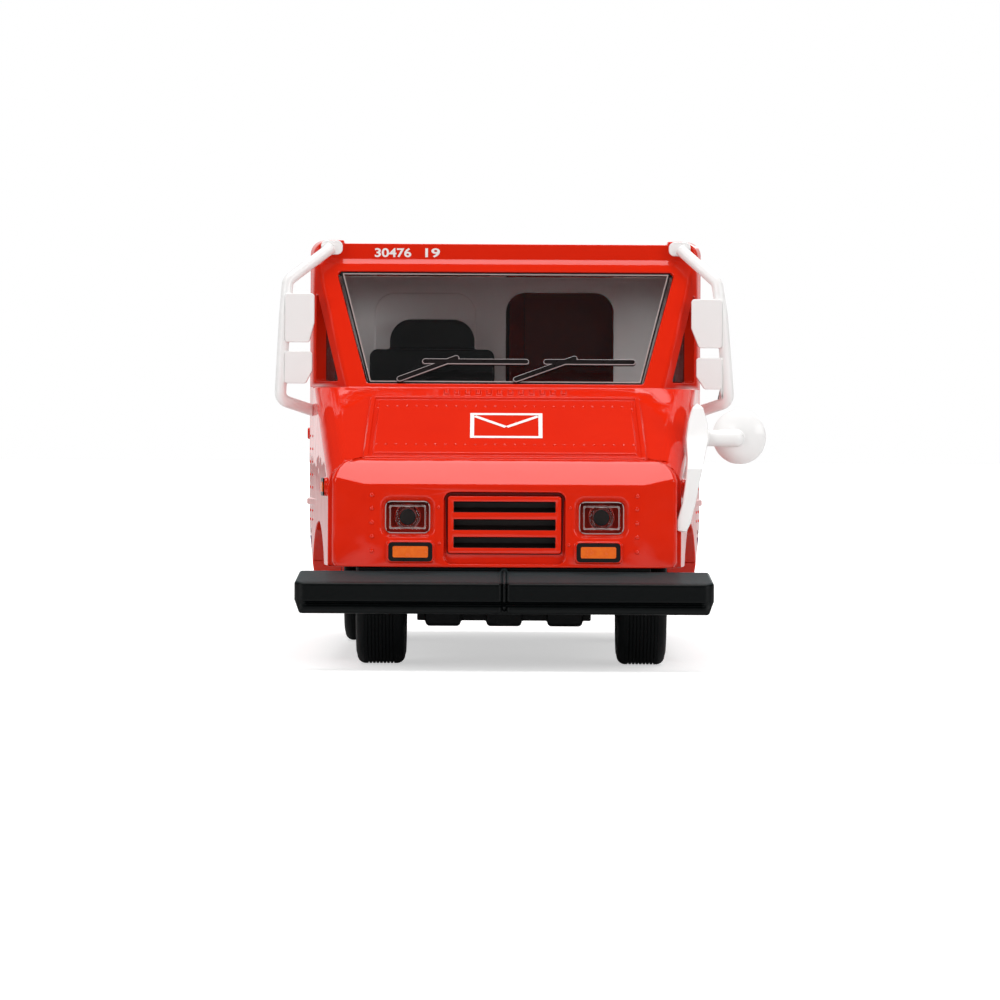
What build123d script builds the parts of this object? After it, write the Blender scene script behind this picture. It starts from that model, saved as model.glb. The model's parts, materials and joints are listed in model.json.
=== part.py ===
from build123d import *
import os
from math import atan2, cos, degrees, hypot, radians, sin, tan

# A die-cast scale model, about 1:64, of a right-hand-drive mail delivery truck.
# Frame: millimetres, +Z up, the nose faces -Y, the driver sits at -X.
# Origin: centre of the base plate's flat underside, midway between the two axles.
# Heights are measured from the ground, stations back from the front bumper's face.

os.makedirs("parts", exist_ok=True)

# ---------------------------------------------------------------- overall sizes
wheelbase = 40.0
front_overhang = 11.9            # bumper face to front axle
rear_overhang = 17.9             # rear axle to the back of the rear bumper
body_width = 30.6
nose_taper = 4.4                 # how much narrower the nose is than the body
base_clearance = 4.4             # ground to the flat underside

front_axle_y = -wheelbase / 2
rear_axle_y = wheelbase / 2
face_y = front_axle_y - front_overhang
tail_y = rear_axle_y + rear_overhang
body_half = body_width / 2
nose_half = (body_width - nose_taper) / 2
RIGHT, LEFT = -1, 1              # the vehicle's own right and left, as signs of X
SIDE_NAMES = {RIGHT: "right", LEFT: "left"}


def up(height):
    """Z of a height measured from the ground."""
    return height - base_clearance


def back(station):
    """Y of a station measured back from the front bumper's face."""
    return face_y + station


# ---------------------------------------------------------------- body casting sizes
wall = 1.1
sill_height = 5.2                # lower edge of the body sides
fascia_foot = 7.7
fascia_head = 13.9
nose_height = 15.3
cowl_height = 21.2
roof_height = 32.5
visor_rise = 1.6                 # from the top of the windscreen frame to the roof
header_height = roof_height - visor_rise

fascia_station = 1.8
hood_station = 3.2               # front end of the hood's slope
cowl_station = 13.6              # rear end of the hood's slope
windscreen_station = 13.9        # foot of the raked windscreen frame
header_station = 19.1
quarter_run = 1.3                # from the header back to where the quarter panel meets the flat side
cab_taper = 3.1                  # how far in the windscreen frame's foot lies on each side
rear_bumper_depth = 1.7

gutter_width = 2.65              # raised gutters along both edges of the roof
gutter_rise = 0.25
tuck_height = 10.3               # below this the sides lean in
tuck_depth = 0.7
visor_setback = 0.4              # the visor stands this far behind the windscreen frame
roof_round = 1.1
fender_round = 1.7
pillar_round = 0.45
rear_round = 0.8

cap_depth = 2.15                 # the nose cap, from the fascia back
cap_lap = 0.4                    # how far the fenders reach into the cap
cap_proud = 0.12                 # how far the cap stands proud of the hood
cap_inset = 0.14                 # how far its sides lie inside the fenders' front ends
cap_foot_corner = 0.5
cap_corner = 1.9
facet_width = 2.45               # the fascia's ends turn back over this width
facet_setback = 0.5

cab_nose_half = body_half - cab_taper
fascia_y = back(fascia_station)
hood_y = back(hood_station)
cowl_y = back(cowl_station)
screen_foot_y = back(windscreen_station)
header_y = back(header_station)
door_y = header_y + quarter_run
body_rear_y = tail_y - rear_bumper_depth
visor_y = header_y + visor_setback
cap_rear_y = fascia_y + cap_depth
joint_y = cap_rear_y - cap_lap
hood_rate = (cowl_height - nose_height) / (cowl_station - hood_station)
flank_angle = degrees(atan2(body_half - nose_half, door_y - fascia_y))
quarter_angle = degrees(atan2(body_half - cab_nose_half, door_y - screen_foot_y))
rake_run = header_y - screen_foot_y
rake_rise = header_height - cowl_height
rake_length = hypot(rake_run, rake_rise)

# ---------------------------------------------------------------- running gear sizes
tyre_radius = 5.1
tyre_width = 3.8
rim_radius = 3.1
front_track = body_width - 10.7  # tyre centre to tyre centre
rear_track = body_width - 7.6
axle_radius = 0.5
running_gap = 0.05               # radial clearance of the axle in its bearing
seat_gap = 0.05                  # clearance round a piece dropped into a pocket
wheel_gap = 0.7                  # tyre to wheel arch
front_play = 0.55                # how far the front wheels can slide along their axle's bearings
rear_play = 0.15
arch_radius = tyre_radius + wheel_gap
axle_z = up(tyre_radius)
step_y = front_axle_y + 0.9 * arch_radius             # the sills start in the rear of the arch
well_gap = 0.3                   # tyre to the inner wall of its well, at the end of its play
well_half = front_track / 2 - tyre_width / 2 - front_play - well_gap
rear_well_half = rear_track / 2 - tyre_width / 2 - rear_play - well_gap
bay_half = well_half - wall

base_thickness = 1.6
arch_gap = 0.4                   # base plate to the end of a wheel arch
base_top = base_thickness
skirt_half = body_half - tuck_depth - wall            # inner face of the lower sides
cabin_half = body_half - wall                         # inner face of the upper sides

# ---------------------------------------------------------------- body: outer form
with BuildPart() as lower_form:
    with BuildSketch(Plane.YZ):
        with BuildLine():
            Polyline(
                (joint_y, up(fascia_foot)),
                (joint_y, up(nose_height) + (joint_y - hood_y) * hood_rate),
                (cowl_y, up(cowl_height)),
                (body_rear_y, up(cowl_height)),
                (body_rear_y, up(sill_height)),
                (step_y, up(sill_height)),
                (step_y, up(fascia_foot)),
                close=True,
            )
        make_face()
    extrude(amount=body_half, both=True)
    with BuildSketch(Plane.XY.offset(up(0))):
        with BuildLine():
            Polyline(
                (-nose_half, fascia_y),
                (nose_half, fascia_y),
                (body_half, door_y),
                (body_half, body_rear_y),
                (-body_half, body_rear_y),
                (-body_half, door_y),
                close=True,
            )
        make_face()
    extrude(amount=roof_height, mode=Mode.INTERSECT)
    fender_edges = (
        lower_form.edges()
        .filter_by(Axis.X, reverse=True)
        .filter_by(lambda e: joint_y < e.center().Y < cowl_y)
        .filter_by(lambda e: e.center().Z > up(nose_height))
    )
    fillet(fender_edges, fender_round)

# The nose cap: its outline from the front, cut by its outlines from the side and from above.
cap_half = nose_half - cap_inset
cap_top = nose_height + cap_proud + (cap_rear_y - hood_y) * hood_rate

with BuildPart() as nose_cap:
    with BuildSketch(Plane.XZ.offset(-fascia_y)) as cap_outline:
        with Locations((0, up(fascia_foot))):
            Rectangle(2 * cap_half, cap_top - fascia_foot, align=(Align.CENTER, Align.MIN))
        fillet(cap_outline.vertices().group_by(Axis.Y)[-1], cap_corner)
        fillet(cap_outline.vertices().group_by(Axis.Y)[0], cap_foot_corner)
    extrude(amount=-cap_depth)
    with BuildSketch(Plane.YZ):
        with BuildLine():
            Polyline(
                (fascia_y, up(fascia_foot)),
                (fascia_y, up(fascia_head)),
                (hood_y, up(nose_height) + cap_proud),
                (cap_rear_y, up(cap_top)),
                (cap_rear_y, up(fascia_foot)),
                close=True,
            )
        make_face()
    extrude(amount=body_half, both=True, mode=Mode.INTERSECT)
    with BuildSketch(Plane.XY.offset(up(0))):
        with BuildLine():
            Polyline(
                (-cap_half, fascia_y + facet_setback),
                (facet_width - cap_half, fascia_y),
                (cap_half - facet_width, fascia_y),
                (cap_half, fascia_y + facet_setback),
                (cap_half, cap_rear_y),
                (-cap_half, cap_rear_y),
                close=True,
            )
        make_face()
    extrude(amount=roof_height, mode=Mode.INTERSECT)

with BuildPart() as cab_form:
    with BuildSketch(Plane.YZ):
        with BuildLine():
            Polyline(
                (screen_foot_y, up(tuck_height)),
                (screen_foot_y, up(cowl_height)),
                (header_y, up(header_height)),
                (visor_y, up(header_height) + visor_setback),
                (visor_y, up(roof_height) + gutter_rise),
                (body_rear_y, up(roof_height) + gutter_rise),
                (body_rear_y, up(sill_height)),
                (door_y, up(sill_height)),
                (door_y, up(tuck_height)),
                close=True,
            )
        make_face()
    extrude(amount=body_half, both=True)
    with BuildSketch(Plane.XY.offset(up(0))):
        with BuildLine():
            Polyline(
                (-cab_nose_half, screen_foot_y),
                (cab_nose_half, screen_foot_y),
                (body_half, door_y),
                (body_half, body_rear_y),
                (-body_half, body_rear_y),
                (-body_half, door_y),
                close=True,
            )
        make_face()
    extrude(amount=roof_height + 1, mode=Mode.INTERSECT)
    roof_edges = (
        cab_form.edges()
        .filter_by(lambda e: e.center().Z > up(roof_height) + gutter_rise - 0.01)
        .filter_by(lambda e: e.center().Y > visor_y + 0.1)
    )
    fillet(roof_edges, roof_round)
    corner_edges = (
        cab_form.edges()
        .filter_by(Axis.Z)
        .filter_by(lambda e: e.center().Y > body_rear_y - 0.1)
    )
    fillet(corner_edges, rear_round)
    pillar_edges = (
        cab_form.edges()
        .filter_by(lambda e: screen_foot_y < e.center().Y < header_y)
        .filter_by(lambda e: e.center().Z > up(cowl_height))
        .filter_by(lambda e: e.length > rake_rise)
    )
    fillet(pillar_edges, pillar_round)
    # the roof between the gutters lies a little lower
    with BuildSketch(Plane.XY.offset(up(roof_height))):
        with Locations((0, (visor_y + body_rear_y) / 2)):
            Rectangle(2 * (body_half - gutter_width), 2 * (body_rear_y - visor_y))
    extrude(amount=2 * gutter_rise, mode=Mode.SUBTRACT)

# ---------------------------------------------------------------- planes of the slanted faces
screen_plane = Plane(
    origin=(0, screen_foot_y, up(cowl_height)),
    x_dir=(1, 0, 0),
    z_dir=(0, -rake_rise, rake_run),
)
hood_plane = Plane(
    origin=(0, hood_y, up(nose_height)),
    x_dir=(1, 0, 0),
    z_dir=(0, nose_height - cowl_height, cowl_station - hood_station),
)
fascia_plane = Plane(origin=(0, fascia_y, up(0)), x_dir=(1, 0, 0), z_dir=(0, -1, 0))
rear_plane = Plane(origin=(0, body_rear_y, up(0)), x_dir=(-1, 0, 0), z_dir=(0, 1, 0))


quarter_turn = radians(quarter_angle)
quarter_plane = Plane(           # outer face of the left angled quarter panel
    origin=(cab_nose_half, screen_foot_y, up(cowl_height)),
    x_dir=(sin(quarter_turn), cos(quarter_turn), 0),
    z_dir=(cos(quarter_turn), -sin(quarter_turn), 0),
)
flank_turn = radians(flank_angle)
flank_plane = Plane(             # left fender side at ground level, from the fascia back
    origin=(nose_half, fascia_y, up(0)),
    x_dir=(sin(flank_turn), cos(flank_turn), 0),
    z_dir=(cos(flank_turn), -sin(flank_turn), 0),
)
side_plane = Plane(              # left body side at ground level, x runs back
    origin=(body_half, face_y, up(0)), x_dir=(0, 1, 0), z_dir=(1, 0, 0)
)
quarter_length = hypot(body_half - cab_nose_half, door_y - screen_foot_y)

# ---------------------------------------------------------------- windows
screen_foot_half = cab_nose_half - 1.5
screen_head_half = cab_nose_half + 1.0
screen_foot_margin = 0.4         # along the rake, above the frame's foot
screen_head_margin = 0.65        # along the rake, below the header
screen_corner = 0.35

with BuildSketch() as screen_outline:
    with BuildLine():
        Polyline(
            (-screen_foot_half, screen_foot_margin),
            (screen_foot_half, screen_foot_margin),
            (screen_head_half, rake_length - screen_head_margin),
            (-screen_head_half, rake_length - screen_head_margin),
            close=True,
        )
    make_face()
    fillet(screen_outline.vertices(), screen_corner)

# The quarter light is a triangle: its front edge follows the raked pillar.
pillar_lean = quarter_length / (door_y - screen_foot_y) * rake_run / rake_rise
quarter_front = 1.8
quarter_margin = 1.05            # quarter panel left behind the opening
quarter_rear = quarter_length - quarter_margin
quarter_sill = 0.5
quarter_head = 0.35              # width left at the top of the triangle
quarter_corner = 0.15
quarter_apex = quarter_sill + (quarter_rear - quarter_front - quarter_head) / pillar_lean

with BuildSketch() as quarter_outline:
    with BuildLine():
        Polyline(
            (quarter_front, quarter_sill),
            (quarter_rear, quarter_sill),
            (quarter_rear, quarter_apex),
            (quarter_rear - quarter_head, quarter_apex),
            close=True,
        )
    make_face()
    fillet(quarter_outline.vertices(), quarter_corner)

door_front = header_station + quarter_run + 0.8       # stations of the sliding door
door_length = 11.2
door_rear = door_front + door_length
door_foot = 7.2                  # heights of the sliding door
door_head = roof_height - 2.2
door_corner = 0.6
window_margin = 1.3
door_window_foot = cowl_height - 0.3
door_window_corner = 0.8

door_window_length = door_rear - door_front - 2 * window_margin
door_window_rise = door_head - window_margin - door_window_foot
with BuildSketch() as door_window_outline:
    with Locations(((door_front + door_rear) / 2, door_window_foot + door_window_rise / 2)):
        RectangleRounded(door_window_length, door_window_rise, door_window_corner)

# ---------------------------------------------------------------- lamps and grille
cut_over = 0.5                   # how far a cutter runs past the face that it cuts
emboss = 0.25                    # how far cast details stand proud
trim_root = 0.3                  # how far raised details reach into the wall

headlamp_x = nose_half - 5.83
headlamp_height = 11.45
headlamp_width = 3.5
headlamp_rise = 2.55
headlamp_corner = 0.5
headlamp_depth = 1.1             # pocket behind the fascia
dish_margin = 0.3                # the fascia dips towards the lens over this width
dish_depth = 0.25
lens_rim = 0.4                   # width of the lens's raised rim
lens_sink = 0.3                  # depth of its middle below the rim
peg_radius = 0.9                 # tubular peg that is pressed into the fascia
peg_bore = 0.62
peg_length = 1.0
signal_x = nose_half - 6.05
signal_height = 8.85
signal_width = 3.5
signal_rise = 1.6
signal_corner = 0.3

grille_foot = fascia_foot + 0.25  # recess that the grille stands in
grille_head = fascia_head - 0.55
grille_half = headlamp_x - 2.72
grille_corner = 0.6
grille_moat = 0.3                # gap round the block at its top and sides
block_foot_gap = 0.8
block_corner = 0.2
grille_sink = 0.55               # depth of the recess
grille_slots = 3
slot_margin = 0.45               # from the block's sides to its slots
slot_rise = 0.78
slot_pitch = 1.33
slot_depth = 0.9
slot_slope = 0.3                 # each bar's top slopes up towards the back by this much
dish_taper = 45

block_half = grille_half - grille_moat
block_foot = grille_foot + block_foot_gap
block_head = grille_head - grille_moat
block_height = (block_foot + block_head) / 2

marker_station = 3.05            # along the fender side, from the fascia
marker_height = nose_height - 1.65
marker_length = 1.9
marker_rise = 1.4

bead_height = 12.05              # lower edge of the rub bead round the sides
bead_rise = 0.5
bead_proud = 0.2

# ---------------------------------------------------------------- hood and cowl details
hood_length = hypot(cowl_station - hood_station, cowl_height - nose_height)
panel_front_half = nose_half - 2.4
panel_rear_half = panel_front_half - 0.4
panel_front = 0.9                # along the hood's slope
panel_rear = hood_length - 1.5
panel_proud = 0.2
groove_width = 0.35
groove_depth = 0.18
louvre_count = 12
louvre_pitch = 0.82
louvre_width = 0.34
louvre_length = 0.75
louvre_proud = 0.15
louvre_y = hood_length - 0.75

panel_corner = 0.3

with BuildSketch() as hood_panel_outline:
    with BuildLine():
        Polyline(
            (-panel_front_half, panel_front),
            (panel_front_half, panel_front),
            (panel_rear_half, panel_rear),
            (-panel_rear_half, panel_rear),
            close=True,
        )
    make_face()
    fillet(hood_panel_outline.vertices(), panel_corner)

# ---------------------------------------------------------------- screw posts
front_post_y = front_axle_y - 4.3
rear_post_y = tail_y - 8.3
post_radius = 1.7
screw_radius = 0.55
screw_head_radius = 1.2
screw_head_depth = 0.7
screw_length = 5.0
screw_cross_length = 1.4         # cross recess in the screw's head
screw_cross_width = 0.3
screw_cross_depth = 0.35
screw_bore = screw_radius + running_gap

bay_front_y = hood_y + 1.4
bay_rear_y = cowl_y - 0.8
bay_front_roof = 0.7             # metal left above the bay's front end
bay_rear_roof = 1.9              # and above its rear end
screen_shift = wall * rake_length / rake_rise          # wall measured level through the rake
firewall_y = screen_foot_y + screen_shift

roll_door_width = body_width - 7.6
roll_door_foot = 9.6
roll_door_head = roof_height - 2.9
roll_door_sink = 0.6
slat_count = 8
slat_gap = 0.35
slat_proud = 0.35
tail_lamp_x = body_half - 1.95
tail_lamp_height = 11.6
tail_lamp_width = 1.7
tail_lamp_rise = 4.0
tail_lamp_depth = 0.5
tail_lamp_proud = 0.3

# ---------------------------------------------------------------- body: one side's cuts and trim
with BuildPart() as side_cuts:
    with BuildSketch(quarter_plane.offset(cut_over)):
        add(quarter_outline.sketch)
    extrude(amount=-(wall + 2 * cut_over))
    with BuildSketch(side_plane.offset(cut_over)):
        add(door_window_outline.sketch)
    extrude(amount=-(wall + 2 * cut_over))
    for axle_y, inner in ((front_axle_y, well_half), (rear_axle_y, rear_well_half)):
        with BuildSketch(Plane.YZ.offset(inner)):
            with Locations((axle_y, axle_z)):
                Circle(arch_radius)
                Rectangle(2 * arch_radius, arch_radius, align=(Align.CENTER, Align.MAX))
        extrude(amount=body_half + 1 - inner)
    with BuildSketch(Plane.XZ.offset(-body_rear_y - 1)):
        with BuildLine():
            Polyline(
                (body_half, up(tuck_height)),
                (body_half + 1, up(tuck_height)),
                (body_half + 1, up(sill_height - 0.1)),
                (body_half - tuck_depth, up(sill_height - 0.1)),
                close=True,
            )
        make_face()
    extrude(amount=body_rear_y + 2 - fascia_y)

with BuildPart() as door_groove:
    with BuildSketch(side_plane.offset(cut_over)):
        with Locations(((door_front + door_rear) / 2, (door_foot + door_head) / 2)):
            RectangleRounded(door_length, door_head - door_foot, door_corner)
            RectangleRounded(
                door_length - 2 * groove_width,
                door_head - door_foot - 2 * groove_width,
                door_corner - groove_width,
                mode=Mode.SUBTRACT,
            )
    extrude(amount=-(cut_over + groove_depth))

pull_height = 17.6
pull_length = 2.0
pull_rise = 0.9
track_rise = 0.6
track_start = 0.8                # behind the door's edge

with BuildPart() as side_trim:
    with BuildSketch(flank_plane.offset(-trim_root)):
        with Locations((marker_station, marker_height)):
            RectangleRounded(marker_length, marker_rise, marker_rise * 0.4)
    extrude(amount=emboss + trim_root)
    # door handle, a low raised pull
    with BuildSketch(side_plane.offset(-trim_root)):
        with Locations((door_front + pull_length, pull_height)):
            RectangleRounded(pull_length, pull_rise, pull_rise / 3)
    extrude(amount=emboss + trim_root)
    # sliding door track behind the door, as long as the door
    with BuildSketch(side_plane.offset(-trim_root)):
        with Locations((door_rear + track_start + door_length / 2, pull_height)):
            Rectangle(door_length, track_rise)
    extrude(amount=emboss + trim_root)

# ---------------------------------------------------------------- body: hollow inside
with BuildPart() as cabin_hollow:
    with BuildSketch(Plane.YZ):
        with BuildLine():
            Polyline(
                (firewall_y, up(sill_height) - 1),
                (firewall_y, up(cowl_height)),
                (header_y + screen_shift, up(header_height)),
                (header_y + screen_shift, up(roof_height) - wall),
                (body_rear_y - wall, up(roof_height) - wall),
                (body_rear_y - wall, up(sill_height) - 1),
                close=True,
            )
        make_face()
    extrude(amount=cabin_half, both=True)
    facet_shift = wall / cos(quarter_turn)
    facet_end = screen_foot_y + (cabin_half + facet_shift - cab_nose_half) / tan(quarter_turn)
    with BuildSketch(Plane.XY.offset(up(0))):
        with BuildLine():
            Polyline(
                (-cab_nose_half + facet_shift, screen_foot_y),
                (cab_nose_half - facet_shift, screen_foot_y),
                (cabin_half, facet_end),
                (cabin_half, body_rear_y),
                (-cabin_half, body_rear_y),
                (-cabin_half, facet_end),
                close=True,
            )
        make_face()
    extrude(amount=roof_height + 1, mode=Mode.INTERSECT)
    # the lower sides lean in, so the hollow narrows there
    with BuildSketch(Plane.XZ.offset(-body_rear_y - 1)):
        for side in (RIGHT, LEFT):
            with Locations((side * skirt_half, up(tuck_height))):
                corner = Align.MIN if side > 0 else Align.MAX
                Rectangle(body_half, tuck_height, align=(corner, Align.MAX))
    extrude(amount=body_rear_y + 2 - fascia_y, mode=Mode.SUBTRACT)

with BuildPart() as base_rebate:
    rebate_front_y = front_axle_y + arch_radius + arch_gap - seat_gap
    with BuildSketch(Plane.XY.offset(up(sill_height) - 1)):
        with Locations((0, (rebate_front_y + facet_end) / 2)):
            Rectangle(2 * skirt_half, facet_end - rebate_front_y)
    extrude(amount=base_top + seat_gap - up(sill_height) + 1)

with BuildPart() as engine_bay:
    with BuildSketch(Plane.YZ):
        with BuildLine():
            Polyline(
                (bay_front_y, up(sill_height) - 1),
                (bay_front_y, up(nose_height) - bay_front_roof),
                (bay_rear_y, up(cowl_height) - bay_rear_roof),
                (bay_rear_y, up(sill_height) - 1),
                close=True,
            )
        make_face()
    extrude(amount=bay_half, both=True)

# ---------------------------------------------------------------- body shell
with BuildPart() as body_shell:
    add(lower_form.part)
    add(nose_cap.part)
    add(cab_form.part)
    # rub bead round both sides
    with BuildSketch(Plane.XY.offset(up(bead_height))):
        with BuildLine():
            Polyline(
                (cap_half + cap_inset, cap_rear_y),
                (body_half + bead_proud, door_y),
                (body_half + bead_proud, body_rear_y - rear_round),
                (-body_half - bead_proud, body_rear_y - rear_round),
                (-body_half - bead_proud, door_y),
                (-cap_half - cap_inset, cap_rear_y),
                close=True,
            )
        make_face()
    extrude(amount=bead_rise)
    add(cabin_hollow.part, mode=Mode.SUBTRACT)
    add(engine_bay.part, mode=Mode.SUBTRACT)
    add(base_rebate.part, mode=Mode.SUBTRACT)
    # raised hood panel with a groove inside its edge
    with BuildSketch(hood_plane):
        add(hood_panel_outline.sketch)
    extrude(amount=panel_proud)
    with BuildSketch(hood_plane.offset(panel_proud)):
        offset(hood_panel_outline.sketch, -groove_width)
        offset(hood_panel_outline.sketch, -2 * groove_width, mode=Mode.SUBTRACT)
    extrude(amount=-groove_depth, mode=Mode.SUBTRACT)
    with BuildSketch(hood_plane):
        with Locations((0, louvre_y)):
            with GridLocations(louvre_pitch, 1, louvre_count, 1):
                Rectangle(louvre_width, louvre_length)
    extrude(amount=louvre_proud)
    # windscreen opening
    with BuildSketch(screen_plane.offset(0.5)):
        add(screen_outline.sketch)
    extrude(amount=-(wall + 2.0), mode=Mode.SUBTRACT)
    # signal lamps, and headlamp pockets in shallow dishes, with a bore into the engine bay
    with BuildSketch(fascia_plane):
        with Locations((-signal_x, signal_height), (signal_x, signal_height)):
            RectangleRounded(signal_width, signal_rise, signal_corner)
    extrude(amount=emboss)
    with BuildSketch(fascia_plane):
        with Locations((-headlamp_x, headlamp_height), (headlamp_x, headlamp_height)):
            RectangleRounded(
                headlamp_width + 2 * dish_margin,
                headlamp_rise + 2 * dish_margin,
                headlamp_corner + dish_margin,
            )
    extrude(amount=-dish_depth, mode=Mode.SUBTRACT, taper=dish_taper)
    with BuildSketch(fascia_plane):
        with Locations((-headlamp_x, headlamp_height), (headlamp_x, headlamp_height)):
            RectangleRounded(headlamp_width, headlamp_rise, headlamp_corner)
    extrude(amount=-headlamp_depth, mode=Mode.SUBTRACT)
    with BuildSketch(fascia_plane):
        with Locations((-headlamp_x, headlamp_height), (headlamp_x, headlamp_height)):
            Circle(peg_radius)
    extrude(amount=fascia_y - bay_front_y - cut_over, mode=Mode.SUBTRACT)
    # grille: a block standing in a recess, with three slots between its bars
    with BuildSketch(fascia_plane):
        with Locations((0, grille_foot)):
            Rectangle(2 * grille_half, grille_head - grille_foot, align=(Align.CENTER, Align.MIN))
        fillet(vertices(), grille_corner)
        with Locations((0, block_height)):
            RectangleRounded(
                2 * block_half, block_head - block_foot, block_corner, mode=Mode.SUBTRACT
            )
    extrude(amount=-grille_sink, mode=Mode.SUBTRACT)
    with BuildSketch(Plane.YZ.offset(-block_half + slot_margin)):
        for step in range(grille_slots):
            slot_foot = up(block_height + (step - (grille_slots - 1) / 2) * slot_pitch - slot_rise / 2)
            with BuildLine():
                Polyline(
                    (fascia_y - cut_over, slot_foot),
                    (fascia_y, slot_foot),
                    (fascia_y + slot_depth, slot_foot + slot_slope),
                    (fascia_y + slot_depth, slot_foot + slot_rise),
                    (fascia_y - cut_over, slot_foot + slot_rise),
                    close=True,
                )
            make_face()
    extrude(amount=2 * (block_half - slot_margin), mode=Mode.SUBTRACT)
    # rear roll-up door with its slats
    with BuildSketch(rear_plane):
        with Locations((0, (roll_door_foot + roll_door_head) / 2)):
            Rectangle(roll_door_width, roll_door_head - roll_door_foot)
    extrude(amount=-roll_door_sink, mode=Mode.SUBTRACT)
    slat_rise = (roll_door_head - roll_door_foot - (slat_count + 1) * slat_gap) / slat_count
    with BuildSketch(rear_plane.offset(-roll_door_sink)):
        with Locations((0, (roll_door_foot + roll_door_head) / 2)):
            with GridLocations(1, slat_rise + slat_gap, 1, slat_count):
                Rectangle(roll_door_width - 2 * slat_gap, slat_rise)
    extrude(amount=slat_proud)
    with BuildSketch(rear_plane):
        with Locations((-tail_lamp_x, tail_lamp_height), (tail_lamp_x, tail_lamp_height)):
            Rectangle(tail_lamp_width, tail_lamp_rise)
    extrude(amount=-tail_lamp_depth, mode=Mode.SUBTRACT)
    # side features, made once and mirrored
    add(side_trim.part)
    add(mirror(side_trim.part, about=Plane.YZ))
    add(side_cuts.part, mode=Mode.SUBTRACT)
    add(mirror(side_cuts.part, about=Plane.YZ), mode=Mode.SUBTRACT)
    add(door_groove.part, mode=Mode.SUBTRACT)
    add(mirror(door_groove.part, about=Plane.YZ), mode=Mode.SUBTRACT)
    # posts that the base is screwed to
    with BuildSketch(Plane.XY.offset(base_top)):
        with Locations((0, front_post_y)):
            Circle(post_radius)
    extrude(until=Until.NEXT)
    with BuildSketch(Plane.XY.offset(base_top)):
        with Locations((0, rear_post_y)):
            Circle(post_radius)
    extrude(until=Until.NEXT)
    with BuildSketch(Plane.XY.offset(base_top)):
        with Locations((0, front_post_y), (0, rear_post_y)):
            Circle(screw_bore)
    extrude(amount=screw_length, mode=Mode.SUBTRACT)

body_shell.part.label = "body_shell"
export_step(body_shell.part, "parts/body_shell.step")

# ---------------------------------------------------------------- base plate
base_front_y = back(2.6)
base_rear_y = body_rear_y - wall - seat_gap
narrow_front = well_half - 0.1
narrow_rear = rear_well_half - 0.1
wide = skirt_half - seat_gap
bearing_radius = 1.25
pan_half = nose_half - 2.1       # raised front end under the fascia
pan_rear_y = front_axle_y - tyre_radius - 1.0
pad_x = narrow_front - 2.45      # the lower arm pads and the sump between them
pad_width = 2.7
pad_length = 6.4
pad_drop = 1.4
pad_round = 0.35
crossmember_half = narrow_front - 0.45
crossmember_length = 4.6
crossmember_drop = 1.0
frame_rail_x = narrow_front - 1.5
frame_rail_width = 1.2
frame_rail_drop = 0.7
tank_y = rear_axle_y + 8.2
tank_width = 8.6
tank_length = 5.6
tank_drop = 1.0
tank_taper = 10
housing_radius = bearing_radius + 0.9
housing_half = 1.5               # the differential housing on the rear axle

lug_x = narrow_front - 2.1       # pegs that hold the bumpers to the base
lug_width = 1.6
lug_rise = 0.5
lug_length = 1.8
lug_height = 4.88

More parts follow.
